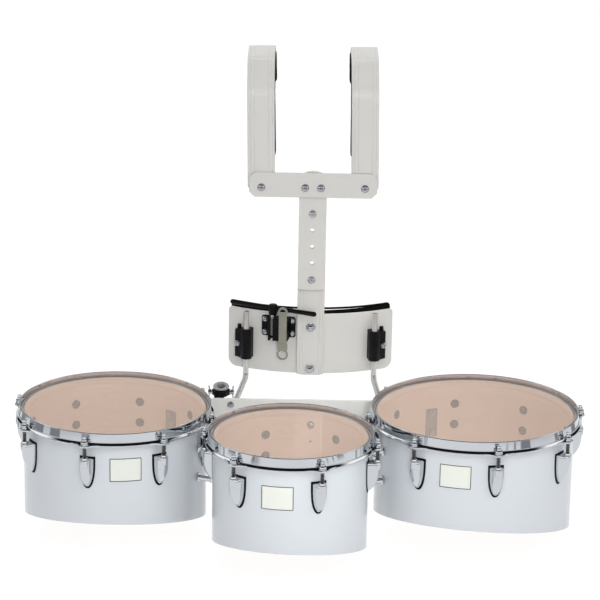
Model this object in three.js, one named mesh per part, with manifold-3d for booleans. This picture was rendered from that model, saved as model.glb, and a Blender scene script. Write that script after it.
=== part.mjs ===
// Marching tenor drums: three drums, open at the bottom, are bolted side by side to a rail, and two
// bent rods hang the rail from the belly plate of a shoulder carrier.
// Lengths are millimetres and +Z is up. The audience looks along +Y, and left and right are theirs:
// the player stands on the +Y side. Heights are first measured from the plane of the hoops' top
// edges, depths from the centre drum's axis, and widths from the carrier's middle. At the end the
// whole part moves, so that its origin is midway between its two resting places on the shoulders.
import * as THREE from "three";
import { mergeVertices } from "three/addons/utils/BufferGeometryUtils.js";
import Module from "manifold-3d";

const wasm = await Module();
wasm.setup();

// Sizes that several pieces share
const seatGap = 0.3; // between two pieces that touch
const cutOverrun = 5; // how far a cutting shape passes what it cuts
const boltHole = 7.4;

// Drum shells
const leftShellRadius = 151;
const centreShellRadius = 126;
const rightShellRadius = 164;
const shellWall = 8;
const shellDepth = 194.6; // hoop plane to the slanted bottom edge, on the axis
const bottomSlant = 13.6; // degrees, lower at the player's side
const edgeInset = 3; // from the outer ply to the crest that the head bears on
const edgeFall = 3.1; // from the crest down to the outer ply
const bevelFall = 6; // from the crest down to the inner ply
const drumGap = 40; // between two neighbouring shells
const drumSweep = 23; // degrees, how far the outer drums are swept back
const centreDrumOffset = -30; // the centre drum from the carrier's middle

// Heads
const filmDrop = 9; // hoop plane to the film
const filmThickness = 0.6;
const fleshRingWidth = 4.5;
const fleshRingHeight = 6.2;

// Counterhoops, with the tension rods that draw them down
const hoopWall = 2.3;
const hoopHeight = 24;
const hoopLipCover = 1.5; // how far the upper wall stands in over the flesh ring
const beadReach = 5.9;
const beadHeight = 4.7;
const beadRounding = 1.2;
const hoopStepHeight = 1.6;
const flangeReach = 5.6;
const flangeThickness = 2.8;
const flangeRise = 1.6;
const earReach = 15;
const earWidth = 22;
const earEndWidth = 13;
const earThickness = 5.2;
const earDrop = 0.6; // the ear's underside below the flange's
const rodDiameter = 6;
const rodOffset = 15.5; // rod axis from the shell
const rodHeadWidth = 6.4;
const rodHeadTop = 4; // hoop plane to the square head's top
const rodCollarDiameter = 11;
const rodCollarHeight = 3;
const rodReach = 60; // hoop plane to the rod's lower end

// Lug casings
const lugTop = 41; // hoop plane to the casing's shoulder
const lugLength = 55;
const lugWidth = 26;
const lugProtrusion = 20.5;
const lugNutDiameter = 12.5;
const lugNutRise = 4.5;
const lugBoreClearance = 2; // below the rod's end

// Spacer bolts between the shells
const spacerDiameter = 9;
const spacerFlangeDiameter = 15;
const spacerFlangeThickness = 3;
const upperSpacerDrop = 57;
const lowerSpacerDrop = 108;

// Rail behind the drums, fixed through standoffs to the outer two
const railDepth = 240; // centre drum's axis to the rail's front face
const railTop = -31.5;
const railHeight = 75;
const railThickness = 4;
const railStandoff = 8;
const standoffDiameter = 18;
const standoffPitch = 36;
const wingTail = 16; // wing past the middle of its fixing
const leftWingBearing = 142.5; // degrees round the left shell, from the audience's side
const rightWingBearing = 204.5;
const backingWidth = 21;
const backingHeight = 50;
const backingThickness = 2;
const backingDrop = 79; // hoop plane to the backing plate's middle

// Bent rods that carry the rail
const hangerDiameter = 10;
const hangerSpread = 112; // rod axis from the carrier's middle
const hangerTop = 82.5;
const hangerBendRadius = 13;
const hangerHeight = -44.5; // axis of the level run
const leftHangerSplay = 6.4; // degrees, outward
const rightHangerSplay = 4.4;

// Clip for accessories on the rail
const clipSpread = -151; // socket axis from the carrier's middle
const clipSetback = 15; // socket axis behind the rail
const clipBodyWidth = 32;
const clipBodyHeight = 10;
const clipTongueWidth = 17;
const clipTongueShift = -3;
const clipTongueThickness = 6;
const clipTongueLength = 20;
const clipBore = 14.6;
const clipRingDiameter = 27;
const clipRingHeight = 6;
const wingScrewDiameter = 5;
const wingScrewLength = 7;
const wingHubDiameter = 9;
const wingHubLength = 6;
const wingSpan = 24;
const wingThickness = 2;
const wingHeight = 9;

// Belly plate and pad
const bellyRadius = 265;
const bellyChord = 288;
const bellyDepth = 384; // centre drum's axis to the plate's front, at its middle
const bellyTop = 76.8;
const bellyHeight = 109;
const bellyThickness = 3;
const bellyUpperCorner = 8;
const bellyLowerCorner = 24;
const bellyPadThickness = 15;
const bellyPadRise = 7; // above the plate's top edge
const bellyPadDrop = 1; // below the plate's lower edge

// Lower mast
const mastWidth = 47;
const mastWall = 3.5;
const mastChannelDepth = 12;
const mastBottom = -32.3;
const mastTop = 272;
const mastEndRise = 3.5; // how far the rounded lower end bulges
const mastGrooveInset = 4.2;
const mastGroovePitch = 4.6;
const grooveWidth = 1.8;
const grooveDepth = 0.9;

// Upper mast, with its row of holes
const stripThickness = 4;
const stripTop = 336.3;
const stripBottom = 123.8;
const stripTopRise = 8;
const stripEndRise = 2.5;
const stripHolePitch = 29.4;
const stripHoleCount = 5;
const topHoleHeight = 260.8;

// Cross plate
const crossWidth = 218.5;
const crossHeight = 43;
const crossBottom = 290.6;
const crossThickness = 4;
const crossChamfer = 9;
const crossBoltHeight = 307.7; // pivots of the shoulder bars

// Shoulder bars and pads
const barSpread = 88.5; // bar's middle and pivot from the carrier's middle
const barLean = 1; // degrees, both towards the audience's left
const barWidth = 46.5;
const barThickness = 7;
const barBottom = 295;
const barEndChamfer = 12;
const hookBendHeight = 475; // where the front leg bends back
const hookTop = 521;
const hookDepth = 184;
const hookFrontTurn = 45; // degrees, the first of its two front bends
const hookBendRadius = 30; // to the bar's outer face
const rearLegEnd = 463;
const barGrooveInset = 4.7;
const barGroovePitch = 6.4;
const padThickness = 16;
const padWidth = 49;
const padShift = 2; // towards the neck, from the bar's middle
const padEdgeThickness = 9;
const padFrontEnd = 359;
const padRearEnd = 452;
const padEndTaper = 9;

// Clamps for the bent rods
const clampTubeDiameter = 20;
const clampTop = 50;
const clampHeight = 54;
const clampNeckWidth = 15;
const clampLugReach = 11;
const clampLugThickness = 12;
const clampLugDrop = 3;
const clampLugHeight = 49;
const clampRodStand = 14; // rod axis in front of the plate

// Tool holder on the belly plate, with its hex key and flat spanner
const holderSpread = -55;
const holderWidth = 60;
const holderHeight = 36.5;
const holderTop = 71;
const holderPlateThickness = 3.5;
const holderBodyWidth = 34.5;
const holderBodyShift = 2.2;
const holderBodyDepth = 22.3;
const holderBodyDrop = 10;
const keySpread = -9; // key's shaft from the holder's middle
const keyShaftDiameter = 5;
const keyShaftLength = 58;
const keyStand = 9; // shaft axis in front of the plate
const keyHandleLength = 166;
const keyHandleDiameter = 9;
const keyHandleHeight = 87;
const keyHubDiameter = 15;
const keyHubHeight = 19;
const keyHandleTurn = 13.4; // degrees from the holder, its right end outward
const spannerSpread = 9.3;
const spannerThickness = 2.6;
const spannerStand = 23.3; // front face, in front of the plate
const spannerRingDiameter = 17;
const spannerRingHole = 9;
const spannerRingHeight = 82;
const spannerDiscDiameter = 18;
const spannerDiscHeight = 4.5;
const spannerNeckWidth = 14;
const spannerWaistWidth = 11.5;

// Counts of flat faces on round pieces. Each drum's is a multiple of its count of lugs.
const sideDrumFacets = 40;
const centreDrumFacets = 36;
const rodFacets = 6;
const tubeFacets = 10;
const holeFacets = 12;
const boreFacets = 24;
const bendSteps = 3;
const bellySteps = 22;

const quarterTurn = Math.PI / 2;
const radians = THREE.MathUtils.degToRad;
const at = (x, y) => new THREE.Vector2(x, y);

// Finishes
const finishes = {
  lacquer: { color: 0xd3dbe2, roughness: 0.18, metalness: 0 },
  chrome: { color: 0xc9ccd1, roughness: 0.12, metalness: 1 },
  film: { color: 0xe3cdb9, roughness: 0.1, metalness: 0 },
  whitePaint: { color: 0xd6d5cf, roughness: 0.35, metalness: 0 },
  blackPlastic: { color: 0x1b1b1c, roughness: 0.5, metalness: 0 },
  foam: { color: 0x202021, roughness: 0.9, metalness: 0 },
  steel: { color: 0x9a968b, roughness: 0.4, metalness: 0.9 },
};

// The volume that the faces enclose, negative where they point inwards
function signedVolume(positions, corners) {
  const [a, b, c] = [new THREE.Vector3(), new THREE.Vector3(), new THREE.Vector3()];
  let total = 0;
  for (let i = 0; i < corners.length; i += 3) {
    a.fromArray(positions, 3 * corners[i]);
    b.fromArray(positions, 3 * corners[i + 1]);
    c.fromArray(positions, 3 * corners[i + 2]);
    total += a.dot(b.cross(c));
  }
  return total;
}

function toManifold(geometry) {
  const bare = geometry.clone();
  const extras = Object.keys(bare.attributes).filter((name) => name !== "position");
  extras.forEach((name) => bare.deleteAttribute(name));
  const merged = mergeVertices(bare);
  const positions = merged.attributes.position.array;
  const index = merged.index.array;
  const corners = [];
  for (let i = 0; i < index.length; i += 3) {
    const [a, b, c] = [index[i], index[i + 1], index[i + 2]];
    if (a !== b && b !== c && c !== a) corners.push(a, b, c);
  }
  if (signedVolume(positions, corners) < 0) corners.reverse();
  const vertProperties = new Float32Array(positions);
  const triVerts = new Uint32Array(corners);
  return new wasm.Manifold(new wasm.Mesh({ numProp: 3, vertProperties, triVerts }));
}

function toGeometry(manifold) {
  const mesh = manifold.getMesh();
  const geometry = new THREE.BufferGeometry();
  const positions = new Float32Array(mesh.numVert * 3);
  for (let i = 0; i < mesh.numVert; i += 1) {
    for (let axis = 0; axis < 3; axis += 1) {
      positions[3 * i + axis] = mesh.vertProperties[mesh.numProp * i + axis];
    }
  }
  geometry.setAttribute("position", new THREE.BufferAttribute(positions, 3));
  geometry.setIndex(new THREE.BufferAttribute(new Uint32Array(mesh.triVerts), 1));
  return geometry;
}

function combine(operation, first, others) {
  const start = toManifold(first);
  return toGeometry(others.reduce((sum, other) => sum[operation](toManifold(other)), start));
}

const join = (first, ...others) => combine("add", first, others);
const cut = (first, ...others) => combine("subtract", first, others);
const shared = (first, ...others) => combine("intersect", first, others);

// A profile of radii and heights turned round the Z axis, from a bearing that starts at -Y
function revolve(profile, facets, startBearing = 0) {
  const loop = profile[0].x === 0 ? profile : [...profile, profile[0]];
  return new THREE.LatheGeometry(loop, facets, radians(startBearing)).rotateX(quarterTurn);
}

// A cylinder that stands on the XY plane
function post(diameter, height, facets = tubeFacets) {
  const cylinder = new THREE.CylinderGeometry(diameter / 2, diameter / 2, height, facets);
  return cylinder.rotateX(quarterTurn).translate(0, 0, height / 2);
}

// An outline in the XY plane, raised along Z
function prism(outline, height, curveSegments = holeFacets / 2) {
  const shape = outline instanceof THREE.Shape ? outline : new THREE.Shape(outline);
  return new THREE.ExtrudeGeometry(shape, { depth: height, bevelEnabled: false, curveSegments });
}

// An outline of widths and heights, given a thickness backwards from the plane y = 0
function upright(outline, thickness, curveSegments) {
  return prism(outline, thickness, curveSegments).rotateX(quarterTurn).translate(0, thickness, 0);
}

function block(width, depth, height) {
  return new THREE.BoxGeometry(width, depth, height);
}

// Like rings of points joined one to the next, with the first and last ring closed
function loft(rings, outline) {
  const clockwise = THREE.ShapeUtils.isClockWise(outline);
  const flat = clockwise ? [...outline].reverse() : outline;
  const loops = clockwise ? rings.map((ring) => [...ring].reverse()) : rings;
  const count = flat.length;
  const faces = [];
  for (let ring = 0; ring + 1 < loops.length; ring += 1) {
    for (let corner = 0; corner < count; corner += 1) {
      const here = ring * count + corner;
      const next = ring * count + ((corner + 1) % count);
      faces.push(here, next, next + count);
      faces.push(here, next + count, here + count);
    }
  }
  const last = (loops.length - 1) * count;
  for (const [a, b, c] of THREE.ShapeUtils.triangulateShape(flat, [])) {
    faces.push(a, c, b);
    faces.push(last + a, last + b, last + c);
  }
  const geometry = new THREE.BufferGeometry();
  geometry.setFromPoints(loops.flat());
  geometry.setIndex(faces);
  return geometry;
}

function piece(name, geometry, finish) {
  const mesh = new THREE.Mesh(toGeometry(toManifold(geometry)), new THREE.MeshStandardMaterial(finish));
  mesh.geometry.computeVertexNormals();
  mesh.name = name;
  return mesh;
}

function groupAt(x, y, z, turn = 0) {
  const group = new THREE.Group();
  group.position.set(x, y, z);
  group.rotation.z = turn;
  return group;
}

// Evenly spaced numbers, ends included
function spread(from, to, steps) {
  return Array.from({ length: steps + 1 }, (_, i) => from + ((to - from) * i) / steps);
}

// Direction of a bearing round a drum, 0 towards the audience and 90 towards +X
function bearingDirection(degrees) {
  return at(Math.sin(radians(degrees)), -Math.cos(radians(degrees)));
}

// Drums

const sweep = radians(drumSweep);
const leftPitch = centreShellRadius + drumGap + leftShellRadius;
const rightPitch = centreShellRadius + drumGap + rightShellRadius;
const leftX = centreDrumOffset - leftPitch * Math.cos(sweep);
const rightX = centreDrumOffset + rightPitch * Math.cos(sweep);
const drums = {
  left: {
    radius: leftShellRadius,
    centre: at(leftX, leftPitch * Math.sin(sweep)),
    lugs: 8,
    firstLug: -13,
    cutTurn: 2,
    facets: sideDrumFacets,
  },
  centre: {
    radius: centreShellRadius,
    centre: at(centreDrumOffset, 0),
    lugs: 6,
    firstLug: -39,
    cutTurn: 8,
    facets: centreDrumFacets,
  },
  right: {
    radius: rightShellRadius,
    centre: at(rightX, rightPitch * Math.sin(sweep)),
    lugs: 8,
    firstLug: -36,
    cutTurn: 15,
    facets: sideDrumFacets,
  },
};

// Each lug sits on the middle of a facet
const facetStart = (drum) => drum.firstLug - 180 / drum.facets;
const facetRadius = (drum) => drum.radius * Math.cos(Math.PI / drum.facets);
const lugBearings = (drum) =>
  Array.from({ length: drum.lugs }, (_, i) => drum.firstLug + (360 * i) / drum.lugs);

const crest = -(filmDrop + filmThickness + seatGap);
const fleshTop = crest - edgeFall - seatGap;
const fleshOuter = seatGap + fleshRingWidth;

// A plywood tube: its top edge rises to a crest under the film, and its bottom is sawn on a slant
function shellSolid(drum) {
  const r = drum.radius;
  const slope = Math.tan(radians(bottomSlant));
  const deepest = -(shellDepth + r * slope + cutOverrun);
  const profile = [
    at(r, deepest),
    at(r, crest - edgeFall),
    at(r - edgeInset, crest),
    at(r - shellWall, crest - bevelFall),
    at(r - shellWall, deepest),
  ];
  const size = 3 * r;
  const waste = block(size, size, size).translate(0, 0, -size / 2);
  waste.rotateX(-radians(bottomSlant)).rotateZ(-radians(drum.cutTurn)).translate(0, 0, -shellDepth);
  return cut(revolve(profile, drum.facets, facetStart(drum)), waste);
}

// A film that folds over the shell's edge into its flesh ring
function headSolid(drum) {
  const r = drum.radius;
  const foldTop = crest - edgeFall + seatGap;
  const profile = [
    at(0, -filmDrop),
    at(r - edgeInset + seatGap + filmThickness / 2, -filmDrop),
    at(r + seatGap + filmThickness, fleshTop),
    at(r + fleshOuter, fleshTop),
    at(r + fleshOuter, fleshTop - fleshRingHeight),
    at(r + seatGap, fleshTop - fleshRingHeight),
    at(r + seatGap, foldTop),
    at(r - edgeInset + seatGap, -filmDrop - filmThickness),
    at(0, -filmDrop - filmThickness),
  ];
  return revolve(profile, drum.facets, facetStart(drum));
}

// Square-headed tension rod with its collar, from the head down to the end in the lug
function rodSolid() {
  const seat = -hoopHeight + earThickness - earDrop;
  const profile = [
    at(0, -rodHeadTop),
    at(rodHeadWidth / 2, -rodHeadTop),
    at(rodHeadWidth / 2, seat + rodCollarHeight),
    at(rodCollarDiameter / 2, seat + rodCollarHeight),
    at(rodCollarDiameter / 2, seat - earThickness / 2),
    at(rodDiameter / 2, seat - earThickness / 2),
    at(rodDiameter / 2, -rodReach),
    at(0, -rodReach),
  ];
  return revolve(profile, rodFacets);
}

// Hoop: a beaded upper wall, a step over the flesh ring, a flange below, and an ear for each rod
function hoopSolid(drum) {
  const r = drum.radius;
  const upperInner = r + fleshOuter - hoopLipCover;
  const upperOuter = upperInner + hoopWall;
  const lowerInner = r + fleshOuter + seatGap;
  const lowerOuter = lowerInner + hoopWall;
  const step = fleshTop + seatGap;
  const rim = upperOuter + beadReach;
  const profile = [
    at(upperInner, -beadRounding),
    at(upperInner + beadRounding, 0),
    at(rim - beadRounding, 0),
    at(rim, -beadHeight / 2),
    at(rim - beadRounding, -beadHeight),
    at(upperOuter, -beadHeight),
    at(upperOuter, step + hoopStepHeight / 2),
    at(lowerOuter, step - hoopStepHeight / 2),
    at(lowerOuter, -hoopHeight + flangeThickness + flangeRise),
    at(lowerOuter + flangeReach, -hoopHeight + flangeThickness),
    at(lowerOuter + flangeReach, -hoopHeight),
    at(lowerInner, -hoopHeight),
    at(lowerInner, step),
    at(upperInner, step),
  ];
  const ring = revolve(profile, drum.facets, facetStart(drum));
  const root = lowerInner + hoopWall / 2;
  const tip = lowerOuter + earReach;
  const ear = [
    at(-earWidth / 2, -root),
    at(-earWidth / 2, -(root + tip) / 2),
    at(-earEndWidth / 2, -tip),
    at(earEndWidth / 2, -tip),
    at(earWidth / 2, -(root + tip) / 2),
    at(earWidth / 2, -root),
  ];
  const stations = lugBearings(drum).flatMap((bearing) => [
    prism(ear, earThickness).translate(0, 0, -hoopHeight - earDrop).rotateZ(radians(bearing)),
    rodSolid().translate(0, -r - rodOffset, 0).rotateZ(radians(bearing)),
  ]);
  return join(ring, ...stations);
}

// Shield-shaped casing: level sections narrow from the shoulder to a point low on the shell.
// Each share is of the casing's length, half width and protrusion.
const lugSectionShares = [
  [0, 0.98, 0.93],
  [0.1, 1, 1],
  [0.33, 0.97, 0.93],
  [0.58, 0.84, 0.69],
  [0.8, 0.58, 0.4],
  [1, 0.1, 0.1],
];
const lugOutlineShares = [
  [-1, 0],
  [-1, 0.45],
  [-0.62, 0.86],
  [0, 1],
  [0.62, 0.86],
  [1, 0.45],
  [1, 0],
];

function lugSolid(drum) {
  const back = facetRadius(drum) + seatGap;
  const rings = lugSectionShares.map(([drop, width, reach]) =>
    lugOutlineShares.map(([across, out]) => {
      const x = (across * width * lugWidth) / 2;
      const y = -back - out * reach * lugProtrusion;
      return new THREE.Vector3(x, y, -lugTop - drop * lugLength);
    }),
  );
  const outline = lugOutlineShares.map(([across, out]) => at(across, out));
  const axis = -drum.radius - rodOffset;
  const nutHeight = lugNutRise + lugLength / 6;
  const nut = post(lugNutDiameter, nutHeight, rodFacets);
  nut.translate(0, axis, -lugTop + lugNutRise - nutHeight);
  const boreBottom = -rodReach - lugBoreClearance;
  const boreLength = lugNutRise + cutOverrun - lugTop - boreBottom;
  const bore = post(boltHole, boreLength, rodFacets).translate(0, axis, boreBottom);
  return cut(join(loft(rings, outline), nut), bore);
}

function drumGroup(side) {
  const drum = drums[side];
  const group = groupAt(drum.centre.x, drum.centre.y, 0);
  group.add(piece(`shell_${side}`, shellSolid(drum), finishes.lacquer));
  group.add(piece(`head_${side}`, headSolid(drum), finishes.film));
  group.add(piece(`hoop_${side}`, hoopSolid(drum), finishes.chrome));
  lugBearings(drum).forEach((bearing, i) => {
    const lug = piece(`lug_${side}_${i + 1}`, lugSolid(drum), finishes.chrome);
    lug.rotation.z = radians(bearing);
    group.add(lug);
  });
  return group;
}

// Flanged bolt that holds two shells apart, lying on the line between their axes
function spacerSolid(length) {
  const profile = [
    at(0, seatGap),
    at(spacerFlangeDiameter / 2, seatGap),
    at(spacerFlangeDiameter / 2, seatGap + spacerFlangeThickness),
    at(spacerDiameter / 2, seatGap + spacerFlangeThickness),
    at(spacerDiameter / 2, length - seatGap - spacerFlangeThickness),
    at(spacerFlangeDiameter / 2, length - seatGap - spacerFlangeThickness),
    at(spacerFlangeDiameter / 2, length - seatGap),
    at(0, length - seatGap),
  ];
  return revolve(profile, tubeFacets);
}

function spacers(side) {
  const from = drums.centre;
  const to = drums[side];
  const along = to.centre.clone().sub(from.centre).normalize();
  const start = from.centre.clone().addScaledVector(along, from.radius);
  return [upperSpacerDrop, lowerSpacerDrop].map((drop, i) => {
    const name = `spacer_${side}_${i === 0 ? "upper" : "lower"}`;
    const spacer = piece(name, spacerSolid(drumGap).rotateX(-quarterTurn), finishes.chrome);
    spacer.position.set(start.x, start.y, -drop);
    spacer.rotation.z = Math.atan2(along.y, along.x) - quarterTurn;
    return spacer;
  });
}

// Rail

// The face that a flat bar shows a drum when it is fixed to it at a bearing
function tangentFace(drum, bearing, stand) {
  const out = bearingDirection(bearing);
  const point = drum.centre.clone().addScaledVector(out, drum.radius + stand);
  return { point, out, along: at(-out.y, out.x) };
}

const leftFix = tangentFace(drums.left, leftWingBearing, railStandoff);
const rightFix = tangentFace(drums.right, rightWingBearing, railStandoff);

// Where a wing's face meets the rail's front plane
function bend(fix) {
  return fix.point.clone().addScaledVector(fix.along, (railDepth - fix.point.y) / fix.along.y);
}

// Front line of the rail from above, wing tip to wing tip
function railLine() {
  const leftBend = bend(leftFix);
  const rightBend = bend(rightFix);
  const leftOut = leftFix.point.clone().sub(leftBend).normalize();
  const rightOut = rightFix.point.clone().sub(rightBend).normalize();
  return [
    leftFix.point.clone().addScaledVector(leftOut, wingTail),
    leftBend,
    rightBend,
    rightFix.point.clone().addScaledVector(rightOut, wingTail),
  ];
}

// A line moved sideways, with its corners mitred
function offsetLine(line, distance) {
  const normals = line.slice(1).map((point, i) => {
    const step = point.clone().sub(line[i]).normalize();
    return at(-step.y, step.x);
  });
  return line.map((point, i) => {
    const before = normals[Math.max(i - 1, 0)];
    const after = normals[Math.min(i, normals.length - 1)];
    const mitre = before.clone().add(after).normalize();
    return point.clone().addScaledVector(mitre, distance / mitre.dot(after));
  });
}

function barFromLine(line, thickness, top, height) {
  const outline = [...line, ...offsetLine(line, thickness).reverse()];
  return prism(outline, height).translate(0, 0, top - height);
}

// A cylinder that points along a level direction from a start point
function levelPost(diameter, length, start, direction, height, facets = tubeFacets) {
  const cylinder = post(diameter, length, facets).rotateX(-quarterTurn);
  cylinder.rotateZ(Math.atan2(direction.y, direction.x) - quarterTurn);
  return cylinder.translate(start.x, start.y, height);
}

const backingHeights = [-backingDrop + standoffPitch / 2, -backingDrop - standoffPitch / 2];

function standoffs(fix) {
  const inward = fix.out.clone().negate();
  const length = railStandoff - seatGap;
  return backingHeights.map((height) => {
    const start = fix.point.clone().addScaledVector(fix.out, railThickness / 2);
    return levelPost(standoffDiameter, length + railThickness / 2, start, inward, height);
  });
}

// Bent rods: the level run of each goes forward and a little outward to the rail's rear face
const clampAngle = Math.asin(hangerSpread / (bellyRadius + clampRodStand));
const bellyCentreY = bellyDepth + bellyRadius;
const hangerY = bellyCentreY - (bellyRadius + clampRodStand) * Math.cos(clampAngle);
const hangers = {
  left: { x: -hangerSpread, direction: bearingDirection(-leftHangerSplay) },
  right: { x: hangerSpread, direction: bearingDirection(rightHangerSplay) },
};

// Distance along a bent rod's level run until either side of it meets the rail's rear face
function hangerRun(hanger) {
  const rear = offsetLine(railLine(), railThickness);
  const sideways = at(-hanger.direction.y, hanger.direction.x);
  const distances = [-1, 1].flatMap((side) => {
    const foot = at(hanger.x, hangerY).addScaledVector(sideways, (side * hangerDiameter) / 2);
    return rear.slice(1).map((end, i) => {
      const wall = end.clone().sub(rear[i]);
      const offset = rear[i].clone().sub(foot);
      const scale = hanger.direction.cross(wall);
      const share = offset.cross(hanger.direction) / scale;
      return share >= 0 && share <= 1 ? offset.cross(wall) / scale : Infinity;
    });
  });
  return Math.min(...distances);
}

function railSolid() {
  const bar = barFromLine(railLine(), railThickness, railTop, railHeight);
  return join(bar, ...standoffs(leftFix), ...standoffs(rightFix));
}

// Plate inside a shell, behind the rail's fixing, bent to the shell's curve
function backingSolid(drum, bearing) {
  const inner = drum.radius - shellWall - seatGap;
  const half = THREE.MathUtils.radToDeg(backingWidth / 2 / inner);
  const flatInner = inner * Math.cos(Math.PI / drum.facets);
  const line = [-half, 0, half].map((turn) =>
    bearingDirection(bearing + turn).multiplyScalar(flatInner).add(drum.centre),
  );
  const outline = [...line, ...offsetLine(line, backingThickness).reverse()];
  return prism(outline, backingHeight).translate(0, 0, -backingDrop - backingHeight / 2);
}

// One bent rod, standing at its own vertical axis with the level run towards -Y
function hangerSolid(hanger) {
  const bendY = hangerBendRadius;
  const run = hangerRun(hanger) - seatGap;
  const stations = [
    { y: 0, z: hangerTop, turn: 0 },
    ...spread(0, quarterTurn, 6).map((turn) => ({
      y: -bendY + bendY * Math.cos(turn),
      z: hangerHeight + bendY - bendY * Math.sin(turn),
      turn,
    })),
    { y: -run, z: hangerHeight, turn: quarterTurn },
  ];
  const outline = spread(0, 2 * Math.PI, tubeFacets).slice(1);
  const radius = hangerDiameter / 2;
  const rings = stations.map(({ y, z, turn }) =>
    outline.map((angle) => {
      const side = radius * Math.sin(angle);
      return new THREE.Vector3(radius * Math.cos(angle), y - side * Math.cos(turn), z + side * Math.sin(turn));
    }),
  );
  return loft(rings, outline.map((angle) => at(Math.cos(angle), Math.sin(angle))));
}

// Accessory clip behind the rail: a six-sided body with an upright socket and a ring on top

function clipFrame() {
  return groupAt(clipSpread, railDepth + railThickness + clipSetback, railTop + seatGap);
}

function clipBodySolid() {
  const hexagon = post(clipBodyWidth, clipBodyHeight, 6);
  const front = -clipSetback + seatGap;
  const tongue = block(clipTongueWidth, clipTongueThickness, clipTongueLength + clipBodyHeight);
  const tongueMiddle = (clipBodyHeight - clipTongueLength) / 2;
  tongue.translate(clipTongueShift, front + clipTongueThickness / 2, tongueMiddle);
  const bore = post(clipBore, clipBodyHeight + 2 * cutOverrun, boreFacets).translate(0, 0, -cutOverrun);
  const screwHoles = [-1, 1].map((side) => wingScrewBore(side));
  return cut(join(hexagon, tongue), bore, ...screwHoles);
}

// Blind hole for a wing screw in the body's side
function wingScrewBore(side) {
  const bore = post(wingScrewDiameter + 3 * seatGap, wingScrewLength + cutOverrun, tubeFacets);
  bore.rotateY(-side * quarterTurn);
  return bore.translate(side * (clipBodyWidth / 2 + cutOverrun), 0, clipBodyHeight / 2);
}

function clipRingSolid() {
  const profile = [
    at(clipBore / 2, seatGap),
    at(clipRingDiameter / 2, seatGap),
    at(clipRingDiameter / 2, clipRingHeight - seatGap),
    at(clipRingDiameter / 2 - wingThickness, clipRingHeight),
    at(clipBore / 2, clipRingHeight),
  ];
  return revolve(profile, boreFacets).translate(0, 0, clipBodyHeight);
}

// Wing screw with its head at +X, and its stem reaching into the body's side
function wingScrewSolid() {
  const face = clipBodyWidth / 2 + seatGap;
  const stem = post(wingScrewDiameter, wingScrewLength + wingHubLength / 2, rodFacets);
  stem.rotateY(quarterTurn).translate(face - wingScrewLength + seatGap, 0, 0);
  const hub = post(wingHubDiameter, wingHubLength, 8).rotateY(quarterTurn).translate(face, 0, 0);
  const half = wingSpan / 2;
  const wing = [
    at(-half, wingHeight / 3),
    at(-half, wingHeight),
    at(-half + wingThickness, wingHeight),
    at(-wingHubDiameter / 3, wingHubDiameter / 4),
    at(wingHubDiameter / 3, wingHubDiameter / 4),
    at(half - wingThickness, wingHeight),
    at(half, wingHeight),
    at(half, wingHeight / 3),
    at(wingHubDiameter / 3, -wingHubDiameter / 4),
    at(-wingHubDiameter / 3, -wingHubDiameter / 4),
  ];
  const wings = prism(wing, wingThickness).translate(0, 0, -wingThickness / 2);
  wings.rotateZ(-quarterTurn).rotateX(quarterTurn).translate(face + wingHubLength / 2, 0, 0);
  return join(stem, hub, wings);
}

function clipGroup() {
  const group = clipFrame();
  group.add(piece("clip_body", clipBodySolid(), finishes.blackPlastic));
  group.add(piece("clip_ring", clipRingSolid(), finishes.steel));
  [-1, 1].forEach((side) => {
    const screw = piece(`wing_screw_${side < 0 ? "left" : "right"}`, wingScrewSolid(), finishes.chrome);
    screw.position.z = clipBodyHeight / 2;
    screw.rotation.z = side < 0 ? Math.PI : 0;
    group.add(screw);
  });
  return group;
}

// Belly plate and pad: level arcs about one upright axis behind the plate

const bellyHalfAngle = Math.asin(bellyChord / 2 / bellyRadius);

function bellyPoint(angle, radius, height) {
  const x = radius * Math.sin(angle);
  return new THREE.Vector3(x, bellyCentreY - radius * Math.cos(angle), height);
}

// How far a rounded corner cuts in, at a distance from the plate's end
function cornerLoss(distance, corner) {
  const inside = Math.max(corner - distance, 0);
  return corner - Math.sqrt(corner * corner - inside * inside);
}

function bellyPlateSolid() {
  const inner = bellyRadius - bellyThickness;
  const cornerAngle = bellyLowerCorner / bellyRadius;
  const start = spread(-bellyHalfAngle, -bellyHalfAngle + cornerAngle, 5);
  const middle = spread(-bellyHalfAngle + cornerAngle, bellyHalfAngle - cornerAngle, bellySteps - 10);
  const end = spread(bellyHalfAngle - cornerAngle, bellyHalfAngle, 5);
  const angles = [...start, ...middle.slice(1, -1), ...end];
  const rings = angles.map((angle) => {
    const distance = (bellyHalfAngle - Math.abs(angle)) * bellyRadius;
    const top = bellyTop - cornerLoss(distance, bellyUpperCorner);
    const bottom = bellyTop - bellyHeight + cornerLoss(distance, bellyLowerCorner);
    return [
      bellyPoint(angle, bellyRadius, bottom),
      bellyPoint(angle, bellyRadius, top),
      bellyPoint(angle, inner, top),
      bellyPoint(angle, inner, bottom),
    ];
  });
  return loft(rings, [at(0, 0), at(0, 1), at(-1, 1), at(-1, 0)]);
}

// Section of a cushion: shares of its thickness from the backing and of its half width
const cushionShares = [
  [0, -0.9],
  [0, -0.3],
  [0, 0.3],
  [0, 0.9],
  [0.2, 0.985],
  [0.5, 1],
  [0.8, 0.93],
  [0.95, 0.66],
  [1, 0],
  [0.95, -0.66],
  [0.8, -0.93],
  [0.5, -1],
  [0.2, -0.985],
];
const cushionOutline = cushionShares.map(([deep, across]) => at(deep, across));

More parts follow.
